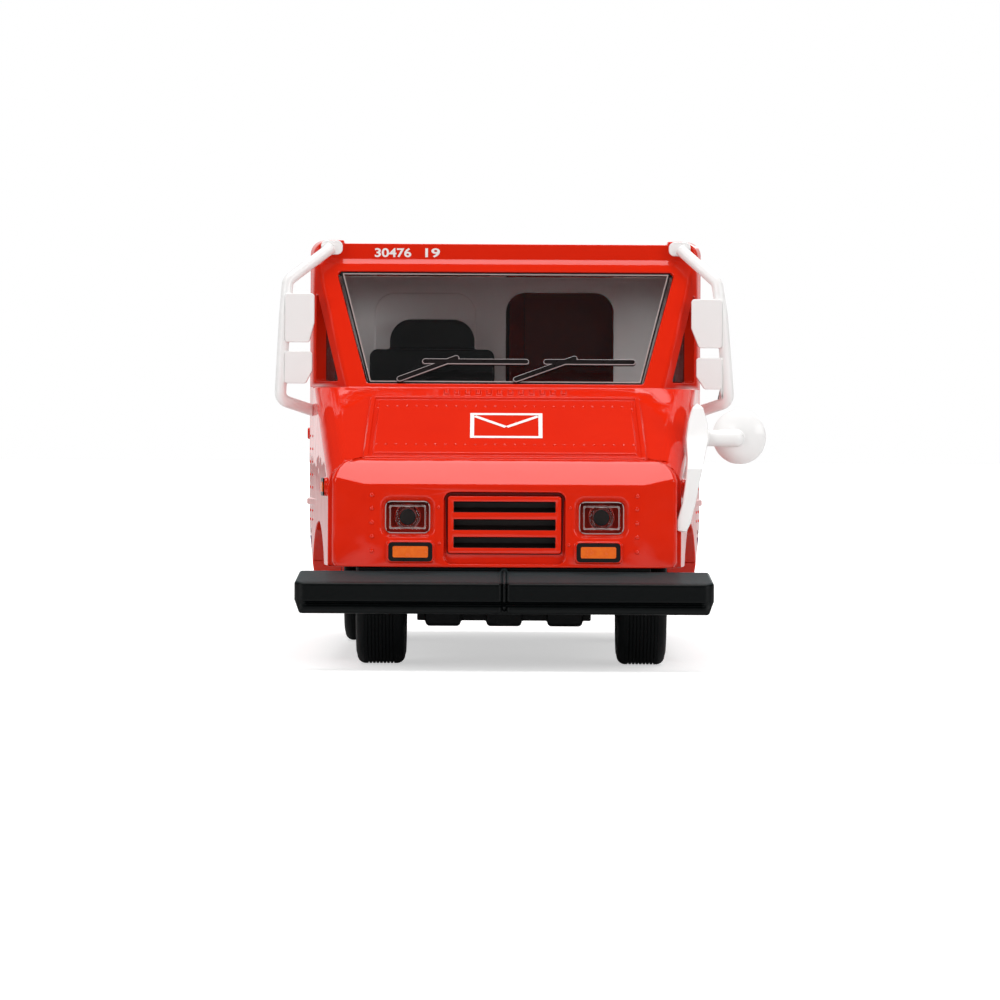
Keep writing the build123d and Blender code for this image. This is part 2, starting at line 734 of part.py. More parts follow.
with BuildPart() as base_plate:
    with BuildSketch():
        with BuildLine():
            half_outline = [
                (narrow_front, base_front_y),
                (narrow_front, front_axle_y + arch_radius + arch_gap),
                (wide, front_axle_y + arch_radius + arch_gap),
                (wide, rear_axle_y - arch_radius - arch_gap),
                (narrow_rear, rear_axle_y - arch_radius - arch_gap),
                (narrow_rear, rear_axle_y + arch_radius + arch_gap),
                (wide, rear_axle_y + arch_radius + arch_gap),
                (wide, base_rear_y),
            ]
            Polyline(*half_outline, *[(-x, y) for x, y in reversed(half_outline)], close=True)
        make_face()
    extrude(amount=base_thickness)
    # front pan, filling in under the fascia
    with BuildSketch(Plane.XY):
        with Locations((0, (base_front_y + pan_rear_y) / 2)):
            Rectangle(2 * pan_half, pan_rear_y - base_front_y)
    extrude(amount=up(fascia_foot))
    # axle bearings
    with BuildSketch(Plane.YZ):
        with Locations((front_axle_y, axle_z)):
            Circle(bearing_radius)
    extrude(amount=narrow_front, both=True)
    with BuildSketch(Plane.YZ):
        with Locations((rear_axle_y, axle_z)):
            Circle(bearing_radius)
    extrude(amount=narrow_rear, both=True)
    # front crossmember with its pads and sump
    with BuildSketch(Plane.XY):
        with Locations((0, front_axle_y)):
            Rectangle(2 * crossmember_half, crossmember_length)
    extrude(amount=-crossmember_drop)
    with BuildSketch(Plane.XY):
        with Locations((-pad_x, front_axle_y), (0, front_axle_y), (pad_x, front_axle_y)):
            Rectangle(pad_width, pad_length)
    extrude(amount=-pad_drop)
    fillet(base_plate.faces().sort_by(Axis.Z)[:3].edges(), pad_round)
    # frame rails and fuel tank
    rail_front_y = front_axle_y + pad_length / 2 + 1.3
    rail_rear_y = base_rear_y - 2.0
    with BuildSketch(Plane.XY):
        with Locations(
            (-frame_rail_x, (rail_front_y + rail_rear_y) / 2),
            (frame_rail_x, (rail_front_y + rail_rear_y) / 2),
        ):
            Rectangle(frame_rail_width, rail_rear_y - rail_front_y)
    extrude(amount=-frame_rail_drop)
    with BuildSketch(Plane.XY):
        with Locations((0, tank_y)):
            Rectangle(tank_width, tank_length)
    extrude(amount=-tank_drop, taper=tank_taper)
    # differential housing on the rear axle
    with BuildSketch(Plane.YZ):
        with Locations((rear_axle_y, axle_z)):
            Circle(housing_radius)
    extrude(amount=housing_half, both=True)
    # bores for the axles, screws and bumper lugs
    with BuildSketch(Plane.YZ.offset(-body_half)):
        with Locations((front_axle_y, axle_z), (rear_axle_y, axle_z)):
            Circle(axle_radius + running_gap)
    extrude(amount=body_width, mode=Mode.SUBTRACT)
    with BuildSketch(Plane.XY.offset(-pad_drop)):
        with Locations((0, front_post_y), (0, rear_post_y)):
            Circle(screw_bore)
    extrude(amount=pad_drop + base_top + 0.1, mode=Mode.SUBTRACT)
    with BuildSketch(Plane.XY.offset(-pad_drop - 0.1)):
        with Locations((0, front_post_y), (0, rear_post_y)):
            Circle(screw_head_radius + seat_gap)
    extrude(amount=pad_drop + 0.1 + screw_head_depth, mode=Mode.SUBTRACT)
    with BuildSketch(Plane.XZ.offset(-base_front_y)):
        with Locations((-lug_x, up(lug_height)), (lug_x, up(lug_height))):
            Rectangle(lug_width + 2 * seat_gap, lug_rise + 2 * seat_gap)
    extrude(amount=-lug_length - seat_gap, mode=Mode.SUBTRACT)
    with BuildSketch(Plane.XZ.offset(-base_rear_y)):
        with Locations((-lug_x, up(lug_height)), (lug_x, up(lug_height))):
            Rectangle(lug_width + 2 * seat_gap, lug_rise + 2 * seat_gap)
    extrude(amount=lug_length + seat_gap, mode=Mode.SUBTRACT)
base_plate.part.label = "base_plate"
export_step(base_plate.part, "parts/base_plate.step")

with BuildPart() as base_screws:
    with BuildSketch(Plane.XY.offset(screw_head_depth)):
        with Locations((0, front_post_y), (0, rear_post_y)):
            Circle(screw_radius)
    extrude(amount=screw_length - 0.5)
    with BuildSketch(Plane.XY):
        with Locations((0, front_post_y), (0, rear_post_y)):
            Circle(screw_head_radius)
    extrude(amount=screw_head_depth)
    with BuildSketch(Plane.XY):
        with Locations((0, front_post_y), (0, rear_post_y)):
            Rectangle(screw_cross_length, screw_cross_width)
            Rectangle(screw_cross_width, screw_cross_length)
    extrude(amount=screw_cross_depth, mode=Mode.SUBTRACT)
base_screws.part.label = "base_screws"
export_step(base_screws.part, "parts/base_screws.step")

# ---------------------------------------------------------------- bumpers
bumper_half = body_half + 0.4
bumper_foot = 4.25
bumper_lip = 6.5                 # top of the front face
bumper_head = 7.45               # top of the sloped band, at the back
bumper_depth = 2.45
bumper_waist = 5.3               # below this the ends curve in
bumper_end = 0.4                 # how much the ends taper in at the top and bottom
bumper_corner = 0.8
bumper_rib = 0.4
bumper_groove = 0.15
bumper_groove_height = 5.0
bumper_relief = 0.12
bumper_edge = 0.2                # bevels along its lower and rear edges
bumper_rib_edge = 0.1            # the rib's outline lies this far inside at its foot and back

with BuildPart() as front_bumper:
    with BuildSketch(Plane.YZ):
        with BuildLine():
            Polyline(
                (back(bumper_edge), up(bumper_foot)),
                (back(0), up(bumper_foot + bumper_edge)),
                (back(0), up(bumper_lip)),
                (back(bumper_depth - bumper_edge), up(bumper_head)),
                (back(bumper_depth), up(bumper_head - bumper_edge)),
                (back(bumper_depth), up(bumper_foot)),
                close=True,
            )
        make_face()
    extrude(amount=bumper_half, both=True)
    with BuildSketch(Plane.XY.offset(up(0))) as bumper_plan:
        with Locations((0, back(0))):
            Rectangle(2 * bumper_half, bumper_depth, align=(Align.CENTER, Align.MIN))
        fillet(bumper_plan.vertices().group_by(Axis.Y)[0], bumper_corner)
    extrude(amount=bumper_head + 1, mode=Mode.INTERSECT)
    with BuildSketch(Plane.XZ.offset(-back(0))):
        with BuildLine():
            Polyline(
                (-bumper_half + bumper_end, up(bumper_head)),
                (bumper_half - bumper_end, up(bumper_head)),
                (bumper_half, up(bumper_lip)),
                (bumper_half, up(bumper_waist)),
                (bumper_half - bumper_end, up(bumper_foot)),
                (-bumper_half + bumper_end, up(bumper_foot)),
                (-bumper_half, up(bumper_waist)),
                (-bumper_half, up(bumper_lip)),
                close=True,
            )
        make_face()
    extrude(amount=-bumper_depth, mode=Mode.INTERSECT)
    with BuildSketch(Plane.YZ):
        with BuildLine():
            Polyline(
                (back(2 * bumper_edge), up(bumper_foot + bumper_rib_edge)),
                (back(-bumper_relief), up(bumper_foot + bumper_edge)),
                (back(-bumper_relief), up(bumper_lip + bumper_relief / 2)),
                (back(bumper_depth - bumper_edge), up(bumper_head + bumper_relief / 2)),
                (back(bumper_depth - bumper_edge), up(bumper_foot + bumper_rib_edge)),
                close=True,
            )
        make_face()
    extrude(amount=bumper_rib / 2, both=True)
    with BuildSketch(Plane.XZ.offset(-back(-bumper_relief))):
        with Locations((0, up(bumper_groove_height))):
            Rectangle(2 * bumper_half, bumper_groove)
    extrude(amount=-2 * bumper_relief, mode=Mode.SUBTRACT)
    with BuildSketch(Plane.XZ.offset(-back(bumper_depth))):
        with Locations((-lug_x, up(lug_height)), (lug_x, up(lug_height))):
            Rectangle(lug_width, lug_rise)
    extrude(amount=-(base_front_y + lug_length - back(bumper_depth)))
front_bumper.part.label = "front_bumper"
export_step(front_bumper.part, "parts/front_bumper.step")

rear_bumper_half = body_half - 1.1
rear_bumper_foot = 4.6
rear_bumper_head = 6.9
rear_bumper_bevel = 0.3
rear_bumper_corner = 0.5
rear_groove_height = 5.5

with BuildPart() as rear_bumper:
    with BuildSketch(Plane.YZ):
        with BuildLine():
            Polyline(
                (body_rear_y + seat_gap, up(rear_bumper_foot)),
                (body_rear_y + seat_gap, up(rear_bumper_head)),
                (tail_y - rear_bumper_bevel, up(rear_bumper_head)),
                (tail_y, up(rear_bumper_head - rear_bumper_bevel)),
                (tail_y, up(rear_bumper_foot + rear_bumper_bevel)),
                (tail_y - rear_bumper_bevel, up(rear_bumper_foot)),
                close=True,
            )
        make_face()
    extrude(amount=rear_bumper_half, both=True)
    end_edges = rear_bumper.edges().filter_by(Axis.Z).filter_by(lambda e: e.center().Y > tail_y - 0.1)
    chamfer(end_edges, rear_bumper_corner)
    with BuildSketch(Plane.XZ.offset(-tail_y)):
        with Locations((0, up(rear_groove_height))):
            Rectangle(2 * rear_bumper_half, bumper_groove)
    extrude(amount=bumper_relief, mode=Mode.SUBTRACT)
    with BuildSketch(Plane.XZ.offset(-(body_rear_y + seat_gap))):
        with Locations((-lug_x, up(lug_height)), (lug_x, up(lug_height))):
            Rectangle(lug_width, lug_rise)
    extrude(amount=body_rear_y + seat_gap - base_rear_y + lug_length)
rear_bumper.part.label = "rear_bumper"
export_step(rear_bumper.part, "parts/rear_bumper.step")

# ---------------------------------------------------------------- glass
glass_recess = 0.15              # outer face of the glass below the paint
quarter_recess = 0.85            # the quarter glass sits deep in its opening
flange_width = 0.5
flange_thickness = 0.5
wiper_relief = 0.25
wiper_width = 0.5
wiper_blade_rise = 2.3           # blade's height along the rake
wiper_pivot_rise = 0.75
wiper_bend_rise = 2.6
wiper_blades = ((-6.45, 1.85), (2.95, 10.1))
wiper_arms = ((-8.15, -3.8), (0.85, 5.35))

with BuildPart() as windscreen:
    with BuildSketch(screen_plane.offset(-wall)):
        offset(screen_outline.sketch, -seat_gap)
    extrude(amount=wall - glass_recess)
    with BuildSketch(screen_plane.offset(-wall - seat_gap)):
        with BuildLine():
            Polyline(
                (-screen_foot_half - flange_width / 2, screen_foot_margin + flange_width),
                (screen_foot_half + flange_width / 2, screen_foot_margin + flange_width),
                (screen_head_half + flange_width / 2, rake_length - screen_head_margin + flange_width),
                (-screen_head_half - flange_width / 2, rake_length - screen_head_margin + flange_width),
                close=True,
            )
        make_face()
    extrude(amount=-flange_thickness)
    with BuildSketch(screen_plane.offset(-wall - seat_gap)):
        offset(screen_outline.sketch, -2 * seat_gap)
    extrude(amount=seat_gap)
    with BuildSketch(screen_plane.offset(-glass_recess)):
        for blade_start, blade_end in wiper_blades:
            with Locations(((blade_start + blade_end) / 2, wiper_blade_rise)):
                SlotOverall(blade_end - blade_start, wiper_width)
        for pivot_x, bend_x in wiper_arms:
            arm_turn = degrees(atan2(wiper_bend_rise - wiper_pivot_rise, bend_x - pivot_x))
            arm_length = hypot(wiper_bend_rise - wiper_pivot_rise, bend_x - pivot_x)
            middle = ((pivot_x + bend_x) / 2, (wiper_pivot_rise + wiper_bend_rise) / 2)
            with Locations(Location(middle, arm_turn)):
                SlotOverall(arm_length + wiper_width, wiper_width)
    extrude(amount=wiper_relief)
windscreen.part.label = "windscreen"
export_step(windscreen.part, "parts/windscreen.step")


def mirrored(piece, side):
    """The piece itself on the left, its mirror image on the right."""
    return piece if side == LEFT else mirror(piece, about=Plane.YZ)


quarter_flange = 0.3

with BuildPart() as quarter_glass:
    with BuildSketch(quarter_plane.offset(-wall - seat_gap)):
        offset(quarter_outline.sketch, -seat_gap)
    extrude(amount=wall + seat_gap - quarter_recess)
    with BuildSketch(quarter_plane.offset(-wall - seat_gap)):
        offset(quarter_outline.sketch, quarter_flange)
    extrude(amount=-quarter_flange)

with BuildPart() as door_glass:
    with BuildSketch(side_plane.offset(-wall - seat_gap)):
        offset(door_window_outline.sketch, -seat_gap)
    extrude(amount=wall + seat_gap - glass_recess)
    with BuildSketch(side_plane.offset(-wall - seat_gap)):
        offset(door_window_outline.sketch, flange_width)
    extrude(amount=-flange_thickness)

with BuildPart() as headlamp_lens:
    with BuildSketch(fascia_plane.offset(-headlamp_depth)):
        with Locations((headlamp_x, headlamp_height)):
            RectangleRounded(
                headlamp_width - 2 * seat_gap, headlamp_rise - 2 * seat_gap, headlamp_corner
            )
    extrude(amount=headlamp_depth)
    with BuildSketch(fascia_plane):
        with Locations((headlamp_x, headlamp_height)):
            RectangleRounded(
                headlamp_width - 2 * lens_rim, headlamp_rise - 2 * lens_rim, headlamp_corner / 2
            )
            Circle(peg_radius - seat_gap, mode=Mode.SUBTRACT)
    extrude(amount=-lens_sink, mode=Mode.SUBTRACT)
    with BuildSketch(fascia_plane.offset(-headlamp_depth)):
        with Locations((headlamp_x, headlamp_height)):
            Circle(peg_radius - seat_gap)
    extrude(amount=-peg_length)
    with BuildSketch(fascia_plane.offset(cut_over)):
        with Locations((headlamp_x, headlamp_height)):
            Circle(peg_bore)
    extrude(amount=-cut_over - headlamp_depth - peg_length - cut_over, mode=Mode.SUBTRACT)

with BuildPart() as tail_lamp:
    with BuildSketch(rear_plane.offset(-tail_lamp_depth)):
        with Locations((-tail_lamp_x, tail_lamp_height)):
            Rectangle(tail_lamp_width - 2 * seat_gap, tail_lamp_rise - 2 * seat_gap)
    extrude(amount=tail_lamp_depth + tail_lamp_proud)
    chamfer(tail_lamp.faces().sort_by(Axis.Y)[-1].edges(), tail_lamp_proud / 2)

for side in (RIGHT, LEFT):
    for piece, kind in (
        (quarter_glass, "quarter_glass"),
        (door_glass, "door_glass"),
        (headlamp_lens, "headlamp_lens"),
        (tail_lamp, "tail_lamp"),
    ):
        name = kind + "_" + SIDE_NAMES[side]
        finished = mirrored(piece.part, side)
        finished.label = name
        export_step(finished, "parts/" + name + ".step")

# ---------------------------------------------------------------- interior
floor_height = 11.2
floor_thickness = 0.8
floor_half = cabin_half - 0.3
bulkhead_y = door_y + 12.6
bulkhead_thickness = 0.8
bulkhead_top = roof_height - wall - 0.15
doorway_x = 4.4
doorway_width = 8.7
doorway_head = roof_height - 3.8
doorway_corner = 1.6
leg_x = 7.6
leg_width = 0.9
leg_front_y = step_y + 2.0
tub_front_y = firewall_y + 0.2
tub_front_half = screen_foot_half
seat_x = -screen_foot_half / 2 - 0.5
panel_x = seat_x - 0.6           # raised panel on the bulkhead behind the driver
panel_height = 22.6
panel_width = 8.1
panel_rise = 12.0
panel_relief = 0.2
pedestal_y = bulkhead_y - 6.0
pedestal_width = 5.6
pedestal_length = 5.0
pedestal_rise = 3.6
pedestal_corner = 0.6

with BuildPart() as interior_tub:
    with BuildSketch(Plane.XY.offset(up(floor_height))):
        with BuildLine():
            Polyline(
                (-tub_front_half, tub_front_y),
                (tub_front_half, tub_front_y),
                (floor_half, facet_end),
                (floor_half, bulkhead_y + bulkhead_thickness),
                (-floor_half, bulkhead_y + bulkhead_thickness),
                (-floor_half, facet_end),
                close=True,
            )
        make_face()
    extrude(amount=-floor_thickness)
    # two legs carry the tub on the base plate
    with BuildSketch(Plane.XY.offset(base_top)):
        for side in (RIGHT, LEFT):
            with Locations((side * leg_x, (leg_front_y + bulkhead_y) / 2)):
                Rectangle(leg_width, bulkhead_y - leg_front_y)
    extrude(amount=up(floor_height) - base_top)
    # bulkhead with its doorway
    with BuildSketch(Plane.XZ.offset(-bulkhead_y)):
        with Locations((0, (up(floor_height - floor_thickness) + up(bulkhead_top)) / 2)):
            Rectangle(2 * floor_half, bulkhead_top - floor_height + floor_thickness)
        with Locations((doorway_x, (up(floor_height) + up(doorway_head)) / 2)):
            RectangleRounded(
                doorway_width, doorway_head - floor_height, doorway_corner, mode=Mode.SUBTRACT
            )
    extrude(amount=-bulkhead_thickness)
    with BuildSketch(Plane.XZ.offset(-bulkhead_y)):
        with Locations((panel_x, up(panel_height))):
            RectangleRounded(panel_width, panel_rise, doorway_corner)
    extrude(amount=panel_relief)
    # seat pedestal
    with BuildSketch(Plane.XY.offset(up(floor_height))):
        with Locations((seat_x, pedestal_y)):
            RectangleRounded(pedestal_width, pedestal_length, pedestal_corner)
    extrude(amount=pedestal_rise)
interior_tub.part.label = "interior_tub"
export_step(interior_tub.part, "parts/interior_tub.step")

seat_width = 10.0
seat_pan_width = 9.1
seat_pan_length = 8.0
seat_pan_corner = 1.0
seat_pan_height = floor_height + pedestal_rise
seat_pan_thickness = 2.2
backrest_y = pedestal_y + 2.2
backrest_top = cowl_height + 2.85
backrest_thickness = 1.7
backrest_corner = 0.65
headrest_width = 6.8
headrest_top = backrest_top + 2.4
headrest_root = 3.0              # how far the headrest reaches down into the backrest
headrest_thickness = 1.0
headrest_corner = 1.75

with BuildPart() as driver_seat:
    with BuildSketch(Plane.XY.offset(up(seat_pan_height))):
        with Locations((seat_x, pedestal_y)):
            RectangleRounded(seat_pan_width, seat_pan_length, seat_pan_corner)
    extrude(amount=seat_pan_thickness)
    with BuildSketch(Plane.XZ.offset(-backrest_y)):
        with Locations((seat_x, (up(seat_pan_height) + up(backrest_top)) / 2)):
            RectangleRounded(seat_width, backrest_top - seat_pan_height, backrest_corner)
    extrude(amount=-backrest_thickness)
    headrest_rise = headrest_top - backrest_top + headrest_root
    with BuildSketch(Plane.XZ.offset(-(backrest_y + backrest_thickness - headrest_thickness))):
        with Locations((seat_x, up(headrest_top) - headrest_rise / 2)):
            RectangleRounded(headrest_width, headrest_rise, headrest_corner)
    extrude(amount=-headrest_thickness)
driver_seat.part.label = "driver_seat"
export_step(driver_seat.part, "parts/driver_seat.step")

dash_top = cowl_height - 0.6
dash_depth = 3.0
dash_edge = 0.8                  # bevel along the top of its face
dash_face = 3.6                  # height of the instrument face below the bevel
dash_shelf = 0.8
toe_board = 1.2                  # thickness below the instrument face
column_radius = 0.55
column_length = 2.6
column_tilt = 0.55               # rise of the column per unit back
wheel_radius = 2.75
wheel_rim = 0.4
wheel_hub_radius = 0.8
wheel_hub_depth = 0.5
spoke_width = 0.45
spoke_turns = (90, 210, 330)
column_plane = Plane(
    origin=(seat_x, tub_front_y + dash_depth - toe_board, up(dash_top - dash_edge - 0.7 * dash_face)),
    z_dir=(0, 1, column_tilt),
)

with BuildPart() as dashboard:
    with BuildSketch(Plane.YZ):
        with BuildLine():
            Polyline(
                (tub_front_y, up(floor_height)),
                (tub_front_y, up(dash_top)),
                (tub_front_y + dash_depth - dash_edge, up(dash_top)),
                (tub_front_y + dash_depth, up(dash_top - dash_edge)),
                (tub_front_y + dash_depth - dash_edge / 2, up(dash_top - dash_edge - dash_face)),
                (tub_front_y + toe_board, up(dash_top - dash_edge - dash_face - dash_shelf)),
                (tub_front_y + toe_board, up(floor_height)),
                close=True,
            )
        make_face()
    extrude(amount=tub_front_half, both=True)
    # steering column
    with BuildSketch(column_plane):
        Circle(column_radius)
    extrude(amount=column_length)
dashboard.part.label = "dashboard"
export_step(dashboard.part, "parts/dashboard.step")

wheel_plane = column_plane.offset(column_length + seat_gap)
spoke_length = wheel_radius - wheel_hub_radius
spoke_middle = (wheel_radius - wheel_rim + wheel_hub_radius) / 2
with BuildPart() as steering_wheel:
    with BuildSketch(wheel_plane):
        Circle(wheel_hub_radius)
    extrude(amount=wheel_hub_depth)
    with BuildSketch(wheel_plane.offset(wheel_hub_depth - wheel_rim)):
        Circle(wheel_radius)
        Circle(wheel_radius - wheel_rim, mode=Mode.SUBTRACT)
        for turn in spoke_turns:
            spoke_x = spoke_middle * cos(radians(turn))
            spoke_y = spoke_middle * sin(radians(turn))
            with Locations(Location((spoke_x, spoke_y), turn)):
                Rectangle(spoke_length, spoke_width)
    extrude(amount=wheel_rim)
steering_wheel.part.label = "steering_wheel"
export_step(steering_wheel.part, "parts/steering_wheel.step")

# ---------------------------------------------------------------- mirrors
arm_radius = 0.45
arm_bend = 0.8                   # bending radius of the arm's centre line
arm_front_y = header_y - 2.5
arm_root_x = body_half - 1.7
arm_root_y = header_y - 0.3
arm_root_height = roof_height - 0.35                  # where the arm leaves the roof's corner
arm_upper_height = roof_height - 3.0
arm_middle_height = roof_height - 5.6
arm_lower_height = cowl_height - 0.95
arm_foot_x = body_half - 0.6
arm_foot_y = header_y - 0.9
arm_foot_height = cowl_height - 1.9                   # where it meets the fender
# how far out from the body's side the upper bend, the middle and the lower bend lie
arm_reach = {RIGHT: (1.65, 1.85, 2.2), LEFT: (1.15, 1.55, 2.1)}
root_width = 1.7                 # pad that the arm grows from
root_rise = 1.1
root_depth = 0.7
head_thickness = 1.0
head_corner = 0.25
head_knee = 0.4                  # the inner side slants in below this part of the height
# each head's inner side out from the body's side, its slant, and its foot and head above the cowl
head_shapes = {
    RIGHT: ((-0.45, 0.4, 3.5, 7.3), (-0.3, 0.5, 0.3, 2.8)),
    LEFT: ((-0.85, 0.6, 3.2, 7.0), (-0.45, 0.65, 0.0, 2.45)),
}

for side in (RIGHT, LEFT):
    upper_x, middle_x, lower_x = [side * (body_half + reach) for reach in arm_reach[side]]
    with BuildPart() as mirror_arm:
        with BuildLine() as arm_line:
            FilletPolyline(
                (side * arm_root_x, arm_root_y, up(arm_root_height)),
                (upper_x, arm_front_y + arm_radius, up(arm_upper_height)),
                (middle_x, arm_front_y, up(arm_middle_height)),
                (lower_x, arm_front_y, up(arm_lower_height)),
                (side * arm_foot_x, arm_foot_y, up(arm_foot_height)),
                radius=arm_bend,
            )
        with BuildSketch(Plane(origin=arm_line.line @ 0, z_dir=arm_line.line % 0)):
            Circle(arm_radius)
        sweep(transition=Transition.ROUND)
        with BuildSketch(Plane.XZ.offset(-visor_y)):
            with Locations((side * arm_root_x, up(arm_root_height))):
                RectangleRounded(root_width, root_rise, arm_radius)
        extrude(amount=root_depth)
        with BuildSketch(Plane.XZ.offset(-arm_front_y)):
            for reach, slant, foot, head in head_shapes[side]:
                inner_x = body_half + reach
                with BuildLine():
                    Polyline(
                        (middle_x, up(cowl_height + foot)),
                        (side * (inner_x + slant), up(cowl_height + foot)),
                        (side * inner_x, up(cowl_height + foot + head_knee * (head - foot))),
                        (side * inner_x, up(cowl_height + head)),
                        (middle_x, up(cowl_height + head)),
                        close=True,
                    )
                make_face()
            fillet(vertices(), head_corner)
        extrude(amount=head_thickness / 2, both=True)
        add(cab_form.part, mode=Mode.SUBTRACT)
        add(lower_form.part, mode=Mode.SUBTRACT)
    name = "mirror_arm_" + SIDE_NAMES[side]
    mirror_arm.part.label = name
    export_step(mirror_arm.part, "parts/" + name + ".step")

bracket_foot = bead_height - 1.65
# outline of the bracket from the front: out from the cap's side, and up from its foot
bracket_front = (
    (0.0, 0.1), (0.0, 0.9), (0.4, 2.2), (0.65, 3.9), (0.8, 5.6), (0.75, 7.0), (0.95, 8.4), (1.25, 9.4),
    (1.6, 9.75), (2.05, 9.4), (2.4, 8.1), (2.45, 6.9), (2.1, 5.6), (1.7, 3.8), (1.35, 2.0), (1.0, 0.6),
    (0.7, 0.0),
)
# and from the side: back from the fascia, and up from its foot
bracket_side = (
    (0.9, 0.0), (1.6, 0.0), (1.9, 0.8), (1.9, 4.0), (5.6, 5.8), (6.3, 7.2), (6.1, 9.0), (5.3, 9.75),
    (4.5, 9.4), (3.7, 7.4), (2.9, 6.2), (0.9, 4.8),
)
bowl_radius = 2.08
bowl_rim = 0.3
bowl_depth = 0.9
bowl_x = cap_half + 4.8
bowl_run = 5.2                   # bowl's rim, back from the fascia
bowl_y = fascia_y + bowl_run
bowl_height = 17.55
bowl_axis = (0.28, 1.0, 0.1)     # the mirror looks back towards the driver
stem_radius = 0.62
stem_root_x = cap_half + 1.6

bowl_plane = Plane(
    origin=(bowl_x, bowl_y, up(bowl_height)), x_dir=(bowl_axis[1], -bowl_axis[0], 0), z_dir=bowl_axis
)
bowl_crown = (bowl_depth**2 + bowl_radius**2) / (2 * bowl_depth)   # radius of the domed back
with BuildPart() as cross_view_mirror:
    # bracket: a leg beside the nose cap that widens into a blade; its outline from the front
    with BuildSketch(Plane.XZ.offset(-fascia_y)):
        with BuildLine():
            Polyline(
                *[(cap_half + out, up(bracket_foot + rise)) for out, rise in bracket_front], close=True
            )
        make_face()
    extrude(amount=-body_half)
    with BuildSketch(Plane.YZ):
        with BuildLine():
            Polyline(
                *[(fascia_y + run, up(bracket_foot + rise)) for run, rise in bracket_side], close=True
            )
        make_face()
    extrude(amount=body_width, mode=Mode.INTERSECT)
    # stem from the blade across the bowl's domed back to its crown
    stem_end = bowl_plane.from_local_coords((0, 0, -bowl_depth))
    stem_root = Vector(stem_root_x, bowl_y, stem_end.Z)
    with BuildSketch(Plane(origin=stem_root, z_dir=stem_end - stem_root)):
        Circle(stem_radius)
    extrude(amount=(stem_end - stem_root).length)
    with Locations(stem_end):
        Sphere(stem_radius)
    with BuildSketch(bowl_plane):
        Circle(bowl_radius)
    extrude(amount=bowl_rim)
    with BuildPart(mode=Mode.PRIVATE) as dome:
        with Locations(bowl_plane.offset(bowl_crown - bowl_depth)):
            Sphere(bowl_crown)
        split(bisect_by=bowl_plane, keep=Keep.BOTTOM)
    add(dome.part)
    add(lower_form.part, mode=Mode.SUBTRACT)
cross_view_mirror.part.label = "cross_view_mirror"
export_step(cross_view_mirror.part, "parts/cross_view_mirror.step")

# ---------------------------------------------------------------- axles, hubs and tyres
axle_end = 1.0                   # how far the axle reaches past the tyre's middle
shoulder = 0.45                  # bevel at the edges of the tread
sidewall = 0.2                   # how far the sidewall bulges out of the bead
tread_groove = 0.25              # two grooves round the tread
tread_groove_depth = 0.15
hub_flange = 0.35                # rim's thickness at the tyre
hub_inset = 0.3                  # rim's edge behind the sidewall
dish_radius = 1.5                # flat of the dish round the boss
dish_floor = 1.3                 # depth of the dish behind the sidewall
boss_radius = 0.9
boss_inset = 0.5

for axle_name, axle_y, track, slide in (
    ("front", front_axle_y, front_track, front_play),
    ("rear", rear_axle_y, rear_track, 0.0),
):
    axle_half = track / 2 + axle_end
    with BuildPart() as axle:
        with BuildSketch(Plane.YZ.offset(slide - axle_half)):
            with Locations((axle_y, axle_z)):
                Circle(axle_radius)
        extrude(amount=2 * axle_half)
    axle.part.label = axle_name + "_axle"
    export_step(axle.part, "parts/" + axle_name + "_axle.step")
    for side in (RIGHT, LEFT):
        inner_x = track / 2 - tyre_width / 2
        spin_axis = Axis((0, axle_y, axle_z), (1, 0, 0))
        # sketch plane: x out along the axle, y the radius
        profile_plane = Plane(
            origin=(side * inner_x + slide, axle_y, axle_z), x_dir=(side, 0, 0), z_dir=(0, -side, 0)
        )
        with BuildPart() as tyre:
            with BuildSketch(profile_plane):
                with BuildLine():
                    Polyline(
                        (sidewall, rim_radius),
                        (0, rim_radius + shoulder),
                        (0, tyre_radius - shoulder),
                        (shoulder, tyre_radius),
                        (tyre_width - shoulder, tyre_radius),
                        (tyre_width, tyre_radius - shoulder),
                        (tyre_width, rim_radius + shoulder),
                        (tyre_width - sidewall, rim_radius),
                        close=True,
                    )
                make_face()
                with Locations((tyre_width / 3, tyre_radius), (tyre_width * 2 / 3, tyre_radius)):
                    Rectangle(tread_groove, 2 * tread_groove_depth, mode=Mode.SUBTRACT)
            revolve(axis=spin_axis)
        with BuildPart() as hub:
            with BuildSketch(profile_plane):
                with BuildLine():
                    Polyline(
                        (hub_inset, axle_radius),
                        (hub_inset, rim_radius),
                        (tyre_width - hub_inset, rim_radius),
                        (tyre_width - hub_inset, rim_radius - hub_flange),
                        (tyre_width - dish_floor, rim_radius - 2 * hub_flange),
                        (tyre_width - dish_floor, dish_radius),
                        (tyre_width - boss_inset, boss_radius),
                        (tyre_width - boss_inset, axle_radius),
                        close=True,
                    )
                make_face()
            revolve(axis=spin_axis)
        for piece, kind in ((tyre, "tyre"), (hub, "hub")):
            name = axle_name + "_" + kind + "_" + SIDE_NAMES[side]
            piece.part.label = name
            export_step(piece.part, "parts/" + name + ".step")
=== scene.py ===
# %% [markdown]
# # A die-cast mail delivery truck, finished for the camera
# The bare castings and mouldings come in as a fixed frame, in metres. This lesson gives each one the finish
# that a model maker would: thick enamel, clear and coloured plastic, rubber, small printed marks. Nothing
# here moves a casting. Where a bare piece needs softer edges, a copy of it is bevelled and stands in for
# it.

# %% Load the frame
import json
from math import atan, cos, hypot, pi, radians, sin

import bmesh
import bpy
from mathutils import Matrix, Vector
from mathutils.bvhtree import BVHTree

